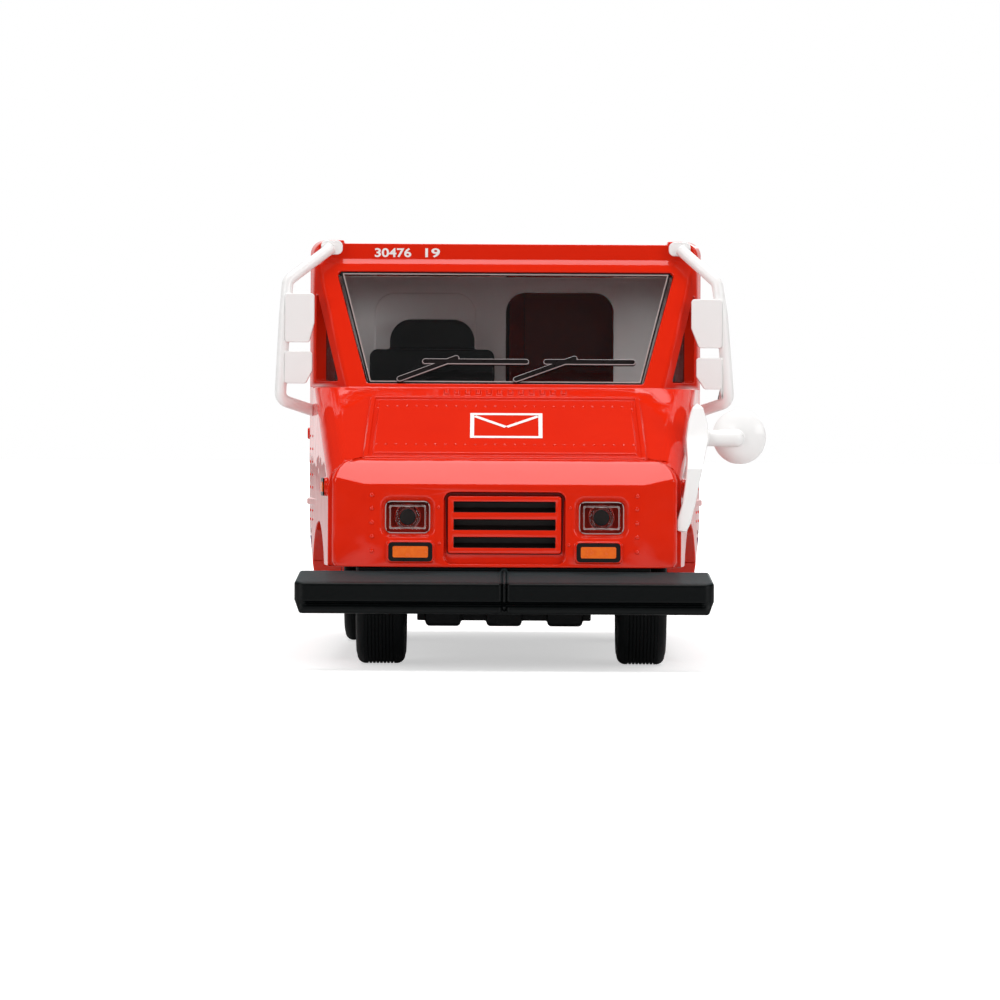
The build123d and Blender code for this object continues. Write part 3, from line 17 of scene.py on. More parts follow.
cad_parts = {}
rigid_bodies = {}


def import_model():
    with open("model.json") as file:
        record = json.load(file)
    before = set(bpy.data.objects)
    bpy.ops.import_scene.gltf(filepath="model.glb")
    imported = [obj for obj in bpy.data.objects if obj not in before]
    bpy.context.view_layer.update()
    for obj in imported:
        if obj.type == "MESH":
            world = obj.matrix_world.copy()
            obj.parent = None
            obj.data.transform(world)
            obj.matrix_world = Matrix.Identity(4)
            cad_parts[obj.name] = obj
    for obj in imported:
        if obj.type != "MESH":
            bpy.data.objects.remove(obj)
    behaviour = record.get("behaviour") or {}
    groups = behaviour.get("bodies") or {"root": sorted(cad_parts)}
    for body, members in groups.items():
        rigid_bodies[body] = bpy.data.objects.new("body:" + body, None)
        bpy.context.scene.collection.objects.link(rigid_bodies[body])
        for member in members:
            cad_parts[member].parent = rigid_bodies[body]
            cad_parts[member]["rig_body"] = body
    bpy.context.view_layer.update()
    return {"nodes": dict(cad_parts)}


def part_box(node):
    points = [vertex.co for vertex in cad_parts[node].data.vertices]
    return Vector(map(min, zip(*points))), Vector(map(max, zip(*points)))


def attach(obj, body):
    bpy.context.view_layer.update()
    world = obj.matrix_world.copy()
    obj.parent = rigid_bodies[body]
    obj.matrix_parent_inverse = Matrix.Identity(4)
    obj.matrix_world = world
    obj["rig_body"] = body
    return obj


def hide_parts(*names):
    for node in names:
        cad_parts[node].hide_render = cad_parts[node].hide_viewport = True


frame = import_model()
MM = 0.001

# %% [markdown]
# ## Where things are
# Every place on the truck is worked out from the frame: the ground is where the tyres end, the front is
# where the bumper ends. A few heights and stations of the casting are written here once, in millimetres.

# %% Landmarks
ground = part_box("front_tyre_left")[0].z
face_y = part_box("rear_bumper")[1].y - 69.8 * MM


def up(height):
    """Z of a height in millimetres above the ground."""
    return ground + height * MM


def back(station):
    """Y of a distance in millimetres behind the front bumper's face."""
    return face_y + station * MM


print("ground", round(ground, 4), "bumper face", round(face_y, 4))

# %% [markdown]
# ## Camera
# A long lens a good arm's length away, level with the bonnet, looking very slightly down. The small roll
# and sideways step are what a hand-set tripod leaves.

# %% Camera
camera_data = bpy.data.cameras.new("camera")
camera = bpy.data.objects.new("camera", camera_data)
bpy.context.scene.collection.objects.link(camera)
camera_distance = 0.400          # to the front axle
camera_height = 19.5             # above the ground, millimetres
camera_side = -0.00035
camera_pitch = radians(-0.99)
camera_roll = radians(0.3)
camera_lens = 187.3              # millimetres, on a sensor 36 mm wide
front_axle_y = (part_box("front_axle")[0].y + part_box("front_axle")[1].y) / 2
camera_data.lens = camera_lens
camera_data.sensor_width = 36
camera_data.clip_start = 0.01
camera_data.clip_end = 20
camera.matrix_world = (
    Matrix.Translation((camera_side, front_axle_y - camera_distance, up(camera_height)))
    @ Matrix.Rotation(pi / 2 + camera_pitch, 4, "X")
    @ Matrix.Rotation(camera_roll, 4, "Z")
)
bpy.context.scene.camera = camera
bpy.context.scene.view_settings.view_transform = "Standard"
print("camera at", [round(v, 4) for v in camera.location])

# %% [markdown]
# ## Colours and shader nodes
# Colours are written as a painter reads them, in sRGB hex, and turned to linear light once. One small
# function adds a shader node with its settings and its links.

# %% Colour and node helpers
def linear(hex_colour):
    """An sRGB hex colour as linear RGBA."""
    parts = [int(hex_colour[i : i + 2], 16) / 255 for i in (1, 3, 5)]
    return [c / 12.92 if c <= 0.04045 else ((c + 0.055) / 1.055) ** 2.4 for c in parts] + [1.0]


def add_node(tree, kind, settings=None, **links):
    """Adds a node. settings are attributes or input values by name; links are input=(node, output)."""
    node = tree.nodes.new("ShaderNode" + kind)
    for key, value in (settings or {}).items():
        if hasattr(node, key) and key not in node.inputs:
            setattr(node, key, value)
        else:
            node.inputs[key].default_value = value
    for key, (source, output) in links.items():
        tree.links.new(source.outputs[output], node.inputs[key.replace("_", " ")])
    return node


def new_material(name, **settings):
    """A material with a Principled surface, its tree and that surface node."""
    material = bpy.data.materials.new(name)
    material.use_nodes = True
    tree = material.node_tree
    surface = tree.nodes["Principled BSDF"]
    for key, value in settings.items():
        surface.inputs[key.replace("_", " ")].default_value = value
    return material, tree, surface


def per_mm(millimetres):
    """Texture scale, in cells per metre, for a pattern of that size."""
    return 1 / (millimetres * MM)


print("red enamel in linear light", [round(c, 3) for c in linear("#E42A0E")])

# %% [markdown]
# ## Floor and surroundings
# A packshot table: a pale floor that fades into a white surround. What the camera sees of them is lifted to
# white, while the light that they throw back on the truck stays soft and low, so the shadow on the floor
# stays. In front of the truck the paper's colour is painted dark grey, as painted shade, so the nose mirrors
# something dark and keeps its red. Just in front of the bumper the lift dips, a painted shadow where the
# real one starts, and it grows again towards the camera. Gloss reflects the surround too: white where the
# paper hangs, behind the truck and low down, and dark on the camera's side and overhead, where a studio has
# only its lamps.

# %% Floor
floor_half = 1.5
floor_mesh = bpy.data.meshes.new("studio_floor")
sheet = bmesh.new()
bmesh.ops.create_grid(sheet, x_segments=1, y_segments=1, size=floor_half)
bmesh.ops.translate(sheet, verts=sheet.verts, vec=(0, 0, ground))
sheet.to_mesh(floor_mesh)
sheet.free()
floor = bpy.data.objects.new("studio_floor", floor_mesh)
bpy.context.scene.collection.objects.link(floor)
floor_finish, tree, surface = new_material("white_paper", Roughness=0.8)
surface.inputs["Emission Color"].default_value = (1, 1, 1, 1)
place = add_node(tree, "TexCoord")
along = add_node(tree, "SeparateXYZ", Vector=(place, "Object"))
# The paper is painted dark grey in front of the truck: painted shade, for the nose to mirror.
painted_shade_ahead = add_node(tree, "MapRange", {"From Min": -0.09, "From Max": -0.22}, Value=(along, "Y"))
paper_with_painted_shade = add_node(
    tree,
    "Mix",
    {"data_type": "RGBA", "A": linear("#D6D6D6"), "B": linear("#3C3C3C")},
    Factor=(painted_shade_ahead, "Result"),
)
tree.links.new(paper_with_painted_shade.outputs["Result"], surface.inputs["Base Color"])
paper_lift = 0.53                # how far the camera sees the paper lifted, near the truck
far = add_node(tree, "VectorMath", {"operation": "LENGTH"}, Vector=(place, "Object"))
fade = add_node(
    tree, "MapRange", {"From Min": 0.10, "From Max": 0.35, "To Min": paper_lift}, Value=(far, "Value")
)
path = add_node(tree, "LightPath")
lift = add_node(tree, "Math", {"operation": "MULTIPLY"})
# Towards the camera the lift grows from 0.40 back to white; with the dip below, it paints a shadow on the
# floor in front of the bumper.
near_camera = add_node(
    tree,
    "MapRange",
    {"interpolation_type": "SMOOTHSTEP", "From Min": -0.045, "From Max": -0.11, "To Min": 0.40},
    Value=(along, "Y"),
)
# A painted shadow: the lift dips just in front of the bumper.
painted_shadow_at_bumper = add_node(
    tree,
    "MapRange",
    {"interpolation_type": "SMOOTHSTEP", "From Min": -0.028, "From Max": -0.042, "To Max": -0.13},
    Value=(along, "Y"),
)
under = add_node(tree, "Math", {"operation": "ADD"})
tree.links.new(fade.outputs["Result"], under.inputs[0])
tree.links.new(painted_shadow_at_bumper.outputs["Result"], under.inputs[1])
white = add_node(tree, "Math", {"operation": "MAXIMUM"})
tree.links.new(under.outputs["Value"], white.inputs[0])
tree.links.new(near_camera.outputs["Result"], white.inputs[1])
tree.links.new(white.outputs["Value"], lift.inputs[0])
tree.links.new(path.outputs["Is Camera Ray"], lift.inputs[1])
tree.links.new(lift.outputs["Value"], surface.inputs["Emission Strength"])
floor_mesh.materials.append(floor_finish)

# %% Surroundings
world = bpy.data.worlds.new("white_studio")
bpy.context.scene.world = world
world.use_nodes = True
tree = world.node_tree
tree.nodes.clear()
direction = add_node(tree, "TexCoord")
height = add_node(tree, "SeparateXYZ", Vector=(direction, "Generated"))
low = add_node(
    tree, "MapRange", {"From Min": 0.42, "From Max": 0.72, "To Min": 1.0, "To Max": 0.0}, Value=(height, "Z")
)
behind = add_node(tree, "MapRange", {"From Min": 0.72, "From Max": 0.92}, Value=(height, "Y"))
both = add_node(tree, "Math", {"operation": "MULTIPLY"})
tree.links.new(low.outputs["Result"], both.inputs[0])
tree.links.new(behind.outputs["Result"], both.inputs[1])
paper = add_node(tree, "MapRange", {"To Min": 0.06, "To Max": 1.0}, Value=(both, "Value"))
path = add_node(tree, "LightPath")
seen = add_node(tree, "Math", {"operation": "ADD"})
tree.links.new(path.outputs["Is Glossy Ray"], seen.inputs[0])
tree.links.new(path.outputs["Is Transmission Ray"], seen.inputs[1])
room_light = 0.55                # what reaches matt surfaces from all round
mirrored = add_node(tree, "Mix", {"data_type": "FLOAT"})
mirrored.inputs["A"].default_value = room_light
tree.links.new(seen.outputs["Value"], mirrored.inputs["Factor"])
tree.links.new(paper.outputs["Result"], mirrored.inputs["B"])
strength = add_node(tree, "Mix", {"data_type": "FLOAT"})
strength.inputs["B"].default_value = 1.0
tree.links.new(path.outputs["Is Camera Ray"], strength.inputs["Factor"])
tree.links.new(mirrored.outputs["Result"], strength.inputs["A"])
surround = add_node(tree, "Background", {"Color": (1, 1, 1, 1)})
tree.links.new(strength.outputs["Result"], surround.inputs["Strength"])
add_node(tree, "OutputWorld", Surface=(surround, "Background"))
print("floor and surroundings ready")

# %% [markdown]
# ## Lamps
# One wide softbox hangs straight overhead. It lights the roof and the bonnet, and it is what the bevel
# above the grille mirrors. Two panels stand further off at the front corners and one behind, so that no
# side falls into black.

# %% Lamps
def softbox(name, place, target, width, length, watts):
    """A soft rectangular lamp at place, in metres, facing target."""
    lamp_data = bpy.data.lights.new(name, "AREA")
    lamp_data.shape = "RECTANGLE"
    lamp_data.size = width
    lamp_data.size_y = length
    lamp_data.energy = watts
    lamp = bpy.data.objects.new(name, lamp_data)
    bpy.context.scene.collection.objects.link(lamp)
    aim = (Vector(target) - Vector(place)).to_track_quat("-Z", "Y")
    lamp.matrix_world = Matrix.Translation(place) @ aim.to_matrix().to_4x4()
    return lamp


middle = (0, 0, up(15))
softbox("overhead_softbox", (0, 0.0, 0.62), middle, 0.52, 0.42, 2.4)
softbox("left_panel", (-0.75, -0.75, 0.30), middle, 0.5, 0.5, 2.55)
softbox("right_panel", (0.75, -0.75, 0.30), middle, 0.5, 0.5, 2.55)
softbox("rear_panel", (0.1, 0.95, 0.45), middle, 0.6, 0.4, 1.6)
print("lamps:", [lamp.name for lamp in bpy.data.lights])

# %% [markdown]
# ## Red enamel
# The body is cast in zinc and sprayed with thick gloss enamel. Enamel is a deep, even colour under a clear,
# smooth skin, so it is a coloured base with a coat over it. The skin is never quite flat: a faint ripple
# about half a millimetre across, called orange peel, and a slower wave where the wet paint sagged keep long
# reflections from looking like glass.

# %% Red enamel
def enamel(name, colour, deep_colour):
    """Sprayed gloss enamel with orange peel; deep_colour is where it lies thicker."""
    material, tree, surface = new_material(
        name, Roughness=0.5, Specular_IOR_Level=0.0, Coat_Weight=1.0, Coat_Roughness=0.04, Coat_IOR=1.5
    )
    place = add_node(tree, "TexCoord")
    cloud = add_node(
        tree, "TexNoise", {"Scale": per_mm(5.0), "Detail": 3.0, "Roughness": 0.6}, Vector=(place, "Object")
    )
    depth = add_node(
        tree,
        "Mix",
        {"data_type": "RGBA", "A": linear(colour), "B": linear(deep_colour)},
        Factor=(cloud, "Fac"),
    )
    tree.links.new(depth.outputs["Result"], surface.inputs["Base Color"])
    peel = add_node(tree, "TexNoise", {"Scale": per_mm(0.6), "Detail": 1.5}, Vector=(place, "Object"))
    sag = add_node(tree, "TexNoise", {"Scale": per_mm(2.4), "Detail": 1.0}, Vector=(place, "Object"))
    wave = add_node(tree, "Bump", {"Strength": 0.5, "Distance": 0.09 * MM}, Height=(sag, "Fac"))
    ripple = add_node(
        tree, "Bump", {"Strength": 0.12, "Distance": 0.02 * MM}, Height=(peel, "Fac"), Normal=(wave, "Normal")
    )
    tree.links.new(ripple.outputs["Normal"], surface.inputs["Normal"])
    tree.links.new(ripple.outputs["Normal"], surface.inputs["Coat Normal"])
    return material


red_enamel = enamel("red_gloss_enamel", "#E42A0E", "#DA220A")
print(red_enamel.name)

# %% [markdown]
# ## Painted shade and pad printing
# Over the enamel go paints of shade and films of ink. Near black in the grille's slots and the headlamps'
# peg holes, dark red on the moat round the grille and a dull dark red inside the cargo box are painted shade.
# Pad printing lays flat films of white, blue, black and orange ink, and the black also draws the painted
# shadow in the windscreen's gap. Ink is a little duller than the enamel, and its film is uneven where the
# silicone pad pressed lighter, so its colour wanders by a shade and its gloss by a tenth. The painted shade
# uses the same mottled film.

# %% Inks
def ink(name, colour, shade, roughness=0.35, mottle=0.8):
    """Pad-printed ink; shade is its colour where the film is thin, mottle the size of those patches in mm."""
    material, tree, surface = new_material(name, Roughness=roughness, Specular_IOR_Level=0.35)
    place = add_node(tree, "TexCoord")
    film = add_node(tree, "TexNoise", {"Scale": per_mm(mottle), "Detail": 3.0}, Vector=(place, "Object"))
    patchy = add_node(
        tree, "Mix", {"data_type": "RGBA", "A": linear(colour), "B": linear(shade)}, Factor=(film, "Fac")
    )
    tree.links.new(patchy.outputs["Result"], surface.inputs["Base Color"])
    uneven = add_node(
        tree, "MapRange", {"To Min": roughness - 0.1, "To Max": roughness + 0.1}, Value=(film, "Fac")
    )
    tree.links.new(uneven.outputs["Result"], surface.inputs["Roughness"])
    return material


# The next three are painted shade: inside the cargo box, in the grille's slots and peg holes, and on the
# grille's moat.
box_shade_paint = ink("dull_red_painted_box_shade", "#4A100A", "#360C08", 0.7, 1.5)
black_shade_paint = ink("black_painted_shade", "#0C0908", "#1C0F0D", 0.5)
red_shade_paint = ink("dark_red_painted_shade", "#5E0E06", "#7C1208", 0.35)
black_ink_and_gap_shadow = ink("black_ink_and_painted_shadow", "#0B0B0C", "#121010", 0.3)
orange_ink = ink("orange_printing_ink", "#F47A22", "#E2560E", 0.25, 0.45)
white_ink = ink("white_printing_ink", "#FAF8F6", "#F1ECEA")
blue_ink = ink("blue_printing_ink", "#1E3FA8", "#24479F")
print("inks ready")

# %% [markdown]
# ## Moulded plastics
# Everything that isn't cast is injection-moulded. ABS out of a spark-eroded mould has a fine grain that
# scatters light: that is a small bump and a broken-up roughness. Out of a polished mould it is glossy, and
# only long waves show. So one function makes them all, and its values say how the mould was finished.

# %% Moulded plastic
def moulded(name, colour, shade, roughness, grain, depth, sheen=0.5):
    """Moulded ABS. shade is the second colour of its cloudiness, grain the size of the mould's texture and
    depth its height, both in millimetres, and sheen its specular level."""
    material, tree, surface = new_material(name, Roughness=roughness, IOR=1.54, Specular_IOR_Level=sheen)
    place = add_node(tree, "TexCoord")
    cloud = add_node(tree, "TexNoise", {"Scale": per_mm(4.0), "Detail": 4.0}, Vector=(place, "Object"))
    blend = add_node(
        tree, "Mix", {"data_type": "RGBA", "A": linear(colour), "B": linear(shade)}, Factor=(cloud, "Fac")
    )
    tree.links.new(blend.outputs["Result"], surface.inputs["Base Color"])
    sparks = add_node(
        tree, "TexNoise", {"Scale": per_mm(grain), "Detail": 2.0}, Vector=(place, "Object")
    )
    uneven = add_node(
        tree,
        "MapRange",
        {"To Min": roughness - 0.08, "To Max": roughness + 0.08},
        Value=(sparks, "Fac"),
    )
    tree.links.new(uneven.outputs["Result"], surface.inputs["Roughness"])
    bump = add_node(tree, "Bump", {"Strength": 0.5, "Distance": depth * MM}, Height=(sparks, "Fac"))
    tree.links.new(bump.outputs["Normal"], surface.inputs["Normal"])
    return material


black_bumper = moulded("satin_black_abs", "#070B0C", "#050808", 0.36, 0.35, 0.015, 0.15)
black_base = moulded("matt_black_abs", "#090C0E", "#060809", 0.50, 0.30, 0.02, 0.2)
grey_tub = moulded("grey_abs", "#E6E3E2", "#DAD6D5", 0.5, 0.3, 0.01)
black_dash = moulded("black_dash_abs", "#15171A", "#0F1113", 0.5, 0.3, 0.015)
slate_seat = moulded("slate_seat_abs", "#080F12", "#060A0C", 0.45, 0.25, 0.02, 0.2)
white_mirror = moulded("gloss_white_abs", "#FCFBFA", "#F6F4F3", 0.22, 0.8, 0.006)
print("plastics ready")

# %% [markdown]
# ## Painted highlight on the bumper
# Above its lip the bumper slopes back, and there its black is painted grey: a painted highlight, where the
# slope faces the lamp overhead. Its height says where: the grey is mixed in over the last hair below the
# slope, so that the lip's edge stays soft.

# %% Painted highlight on the bumper
lip_height, slope_height = 6.50, 6.68
tree = black_bumper.node_tree
surface = tree.nodes["Principled BSDF"]
place = add_node(tree, "TexCoord")
along = add_node(tree, "SeparateXYZ", Vector=(place, "Object"))
# The grey on the top slope is a painted highlight.
top_highlight_mask = add_node(
    tree,
    "MapRange",
    {"From Min": up(lip_height), "From Max": up(slope_height), "To Max": 0.9},
    Value=(along, "Z"),
)
black = surface.inputs["Base Color"].links[0].from_node
top_highlight_grey = add_node(
    tree, "Mix", {"data_type": "RGBA", "B": linear("#3C4547")}, Factor=(top_highlight_mask, "Result"), A=(black, "Result")
)
tree.links.new(top_highlight_grey.outputs["Result"], surface.inputs["Base Color"])
print("bumper rubbed from", lip_height, "mm up")

# %% [markdown]
# ## Clear and coloured polystyrene
# The windows are one moulding each of crystal polystyrene, which bends light more than glass does, so its
# thick edges sparkle. Its mould is polished, and only a slow waviness shows in the reflections. Real light
# passes through it to the seat, so for a shadow ray the plastic is simply clear: without that the cab would
# be black. The side windows are tinted grey all the same, as painted shade, which keeps what lies behind
# them dim.

# %% Clear polystyrene
def clear_plastic(name, tint, roughness=0.02):
    """Polished polystyrene, IOR 1.59, with a slow waviness, clear to shadow rays."""
    material, tree, surface = new_material(
        name, Base_Color=linear(tint), Roughness=roughness, IOR=1.59, Transmission_Weight=1.0
    )
    place = add_node(tree, "TexCoord")
    waves = add_node(tree, "TexNoise", {"Scale": per_mm(3.0), "Detail": 1.0}, Vector=(place, "Object"))
    bump = add_node(tree, "Bump", {"Strength": 0.15, "Distance": 0.03 * MM}, Height=(waves, "Fac"))
    tree.links.new(bump.outputs["Normal"], surface.inputs["Normal"])
    path = add_node(tree, "LightPath")
    passing = add_node(tree, "BsdfTransparent", {"Color": (1, 1, 1, 1)})
    either = add_node(tree, "MixShader", Fac=(path, "Is Shadow Ray"))
    tree.links.new(surface.outputs["BSDF"], either.inputs[1])
    tree.links.new(passing.outputs["BSDF"], either.inputs[2])
    tree.links.new(either.outputs["Shader"], tree.nodes["Material Output"].inputs["Surface"])
    return material


window_clear = clear_plastic("crystal_polystyrene", "#FBFCFC")
# The side windows' grey tint is painted shade: it dims what is seen through them, not the light.
shade_tinted_glass = clear_plastic("grey_tint_painted_shade", "#7E8487")
lamp_clear = clear_plastic("lamp_polystyrene", "#FFFBFA", 0.03)
tail_clear = clear_plastic("red_polystyrene", "#C01010", 0.06)
# Milky white plastic that is a painted highlight, where a clear edge catches the light.
glint_paint = moulded("polystyrene_glint_paint", "#F1E4E2", "#DDBDB8", 0.12, 0.4, 0.02)
glint_paint.node_tree.nodes["Principled BSDF"].inputs["Transmission Weight"].default_value = 0.55
# The wipers' faces are coloured near black; their edges take a light grey that is a painted highlight.
wiper_dark_face = moulded("wiper_black", "#120707", "#0C0404", 0.30, 0.3, 0.01, 0.3)
wiper_glint_paint = moulded("wiper_edge_painted_highlight", "#B9AFAF", "#8E8080", 0.20, 0.3, 0.01)
print("clear plastics ready")

# %% [markdown]
# ## Metals and rubber
# Axles and screws are zinc-plated steel, drawn and turned, so their fine lines run round. The hubs are
# plastic sprayed with silver lacquer, whose flakes glint. The tyres are a soft vinyl that looks like
# rubber: nearly black, dull, and a little bloomed.

# %% Metals
def bare_metal(name, colour, roughness, line):
    """Zinc-plated steel with turning marks a line wide."""
    material, tree, surface = new_material(
        name, Base_Color=linear(colour), Metallic=1.0, Roughness=roughness
    )
    place = add_node(tree, "TexCoord")
    marks = add_node(
        tree, "TexNoise", {"Scale": per_mm(line), "Detail": 3.0}, Vector=(place, "Object")
    )
    uneven = add_node(
        tree,
        "MapRange",
        {"To Min": roughness - 0.1, "To Max": roughness + 0.12},
        Value=(marks, "Fac"),
    )
    tree.links.new(uneven.outputs["Result"], surface.inputs["Roughness"])
    bump = add_node(tree, "Bump", {"Strength": 0.3, "Distance": 0.01 * MM}, Height=(marks, "Fac"))
    tree.links.new(bump.outputs["Normal"], surface.inputs["Normal"])
    return material


plated_steel = bare_metal("zinc_plated_steel", "#C9CCCE", 0.28, 0.15)
silver_lacquer = bare_metal("silver_lacquer", "#B4B7BA", 0.38, 0.12)

# %% Rubber
rubber = moulded("tyre_vinyl", "#070B0D", "#040708", 0.60, 0.25, 0.02, 0.15)
print("metals and rubber ready")

# %% [markdown]
# ## Rounding the castings
# Nothing that comes out of a mould, and then gets a coat of paint, has a knife edge. A copy of each bare
# node is welded, its flat faces joined up, and its sharp edges rolled over by a tenth or two of a
# millimetre. The copy then stands in for the node, and rides where it rode. Where two edges meet too close
# for their bevels, the bevel can shoot past the corner, so any point that ends up off the casting is put
# back on it. The bevel also notes which faces are its own, so that a flat face keeps its flat shading right
# up to its rounded edge.

# %% Stand-ins with soft edges
def stand_in(piece, node, slot, *materials):
    """piece takes the place of a node, in its body, with its materials; slot is not used."""
    for material in materials:
        piece.data.materials.append(material)
    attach(piece, frame["nodes"][node]["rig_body"])
    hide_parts(node)
    return piece


def welded(node):
    """The node's mesh as a bmesh whose loose triangles are joined and whose flat faces are whole."""
    shape = bmesh.new()
    shape.from_mesh(frame["nodes"][node].data)
    bmesh.ops.remove_doubles(shape, verts=shape.verts, dist=0.005 * MM)
    bmesh.ops.dissolve_limit(shape, angle_limit=radians(1), verts=shape.verts, edges=shape.edges)
    return shape


def cut_large(shape):
    """Cuts faces of many corners into triangles, on which a bevel ends cleanly."""
    large = [f for f in shape.faces if len(f.verts) > 4]
    bmesh.ops.triangulate(shape, faces=large, quad_method="BEAUTY", ngon_method="BEAUTY")
    shape.normal_update()


FACE_STRENGTH = "__mod_weightednormals_faceweight"      # where a bevel notes which faces are its own


def roll_edges(shape, edges, width, segments=2):
    """Bevels edges by width millimetres, and puts back what shoots off the surface."""
    surface = BVHTree.FromBMesh(shape)
    first_pass = FACE_STRENGTH not in shape.faces.layers.int.keys()
    bmesh.ops.bevel(
        shape,
        geom=edges,
        offset=width * MM,
        offset_type="WIDTH",
        affect="EDGES",
        segments=segments,
        profile=0.5,
        material=-1,
        clamp_overlap=False,
        loop_slide=False,
        face_strength_mode="ALL" if first_pass else "NEW",
    )
    for vert in shape.verts:
        nearest, normal, index, distance = surface.find_nearest(vert.co)
        if distance > width * MM:
            vert.co = nearest


def sharp_edges(shape, corner, shortest):
    """Edges sharper than corner degrees and longer than shortest millimetres."""
    return [
        e
        for e in shape.edges
        if e.is_manifold and e.calc_face_angle() > radians(corner) and e.calc_length() > shortest * MM
    ]


def smooth_fans(vert, crease):
    """The faces round a vertex, in groups that meet at less than crease degrees."""
    left = set(vert.link_faces)
    while left:
        fan, ahead = [], [left.pop()]
        while ahead:
            face = ahead.pop()
            fan.append(face)
            for edge in face.edges:
                if vert in edge.verts and edge.is_manifold and edge.calc_face_angle() < radians(crease):
                    across = [f for f in edge.link_faces if f in left]
                    left.difference_update(across)
                    ahead += across
        yield fan


def corner_normals(shape, crease, soft_front):
    """A normal for each corner of each face. Where faces meet smoothly, flat ones outrank a bevel's own, but
    in front of soft_front they share alike, as on a nose thick with paint."""
    layers = shape.faces.layers.int
    strength = layers.get(FACE_STRENGTH) or layers.new(FACE_STRENGTH)
    normals = {}
    for vert in shape.verts:
        for fan in smooth_fans(vert, crease):
            rank = max(face[strength] for face in fan)
            normal = Vector()
            for face in fan:
                if face[strength] == rank or vert.co.y < soft_front:
                    normal += face.normal * face.calc_area()
            for face in fan:
                normals[face.index, vert.index] = normal.normalized()
    return [normals[face.index, vert.index] for face in shape.faces for vert in face.verts]


def finished(shape, name, crease=50, soft_front=-1.0):
    """Makes the bmesh an object with smooth rounds and flat flats."""
    for face in shape.faces:
        face.smooth = True
    shape.normal_update()
    shape.verts.index_update()
    shape.faces.index_update()
    normals = corner_normals(shape, crease, soft_front)
    mesh = bpy.data.meshes.new(name)
    shape.to_mesh(mesh)
    shape.free()
    mesh.set_sharp_from_angle(angle=radians(crease))
    mesh.normals_split_custom_set(normals)
    piece = bpy.data.objects.new(name, mesh)
    bpy.context.scene.collection.objects.link(piece)
    print(name, len(mesh.polygons), "faces")
    return piece


def softened(node, width, slot, material, corner=32, segments=2, shortest=0.0):
    """A welded copy of a node whose corners are rounded by width millimetres."""
    shape = welded(node)
    cut_large(shape)
    roll_edges(shape, sharp_edges(shape, corner, shortest), width, segments)
    piece = finished(shape, node + "_soft")
    return stand_in(piece, node, slot, material)


print("rounding tools ready")

# %% [markdown]
# ## The body
# The nose cap is a separate panel on the real van, pressed with a generous round along its rim, so its
# outline is rolled over first, by half a millimetre, then the tail's lower corners, and every other edge by
# a tenth.

# %% Body edges
shape = welded("body_shell")


def on_cap_rim(edge):
    """True for the outline of the nose cap's face and of the bevel above it."""
    sideways = max(abs(f.normal.x) for f in edge.link_faces)
    upward = min(f.normal.z for f in edge.link_faces)
    forward = min(f.normal.y for f in edge.link_faces)
    on_cap = all(
        v.co.y < back(3.3) and v.co.z > up(7.6) and abs(v.co.x) > 10.9 * MM for v in edge.verts
    )
    above_foot = max(v.co.z for v in edge.verts) > up(7.8)
    turns = sideways > 0.3 or upward < -0.5 or edge.calc_face_angle() > radians(60)
    return on_cap and above_foot and forward < -0.6 and turns


def at_tail_corner(vert):
    """True for a point of the tail's upright corners, below the cowl line."""
    at_back = abs(vert.co.y - back(68.1)) < 0.02 * MM
    return at_back and abs(vert.co.x) > 15.2 * MM and vert.co.z < up(21.3)


bent = [e for e in shape.edges if e.is_manifold and e.calc_face_angle() > radians(20)]
rim = [e for e in bent if on_cap_rim(e)]
tail_corners = [
    e for e in shape.edges if all(at_tail_corner(v) for v in e.verts) and e.calc_length() > 3 * MM
]
print("edges of the cap's rim", len(rim), "and of the tail's corners", len(tail_corners))
rim_round, tail_round, edge_round = 0.5, 1.1, 0.13
roll_edges(shape, rim, rim_round, 4)
roll_edges(shape, tail_corners, tail_round, 5)
cut_large(shape)
roll_edges(shape, sharp_edges(shape, 35, 0.0), edge_round)

# %% [markdown]
# ## Painted shade in the grille
# The slots between the grille's bars are painted near black, as painted shade: their walls and floor lie
# behind the grille's face, and that is how they are found. The moat round the grille is painted dark red,
# as painted shade, but for its lowest run.

# %% Painted shade in the slots and moat
fascia_y = back(1.8)
slot_half_width, slot_half_height = 3.95, 0.46
slot_heights = (9.57, 10.9, 12.23)
moat_half_width, moat_foot, moat_head = 4.6, 7.9, 13.4
moat_front, moat_floor = 0.42, 0.68
shade_foot_height = 8.6


def in_slot(points):
    """True for points that all lie in one slot of the grille and reach behind its face."""
    within = any(
        all(abs(p.x) < slot_half_width * MM and abs(p.z - up(h)) < slot_half_height * MM for p in points)
        for h in slot_heights
    )
    near, far = min(p.y for p in points), max(p.y for p in points)
    return within and (near > fascia_y + 0.02 * MM or far > fascia_y + 0.3 * MM)


def in_moat(points):
    """True for points on the moat's floor, above its lowest run."""
    return min(p.z for p in points) > up(shade_foot_height) and all(
        moat_front * MM < p.y - fascia_y < moat_floor * MM
        and abs(p.x) < moat_half_width * MM
        and up(moat_foot) < p.z < up(moat_head)
        for p in points
    )


# Index 1 is the slots' painted shade, 2 the moat's.
for face in shape.faces:
    points = [v.co for v in face.verts]
    if max(p.y for p in points) < back(4.2):
        face.material_index = 1 if in_slot(points) else (2 if in_moat(points) else 0)
print("shade_painted_grille faces", [sum(f.material_index == m for f in shape.faces) for m in (1, 2)])

# %% [markdown]
# ## Inside of the cargo box
# Three rays from the middle of the box find its wall, its roof and its door from the inside. Every face
# within them is painted a dull dark red, as painted shade for the box's dark inside. The painted body is
# then done, and the tree made of it here is what all small pieces are laid on.

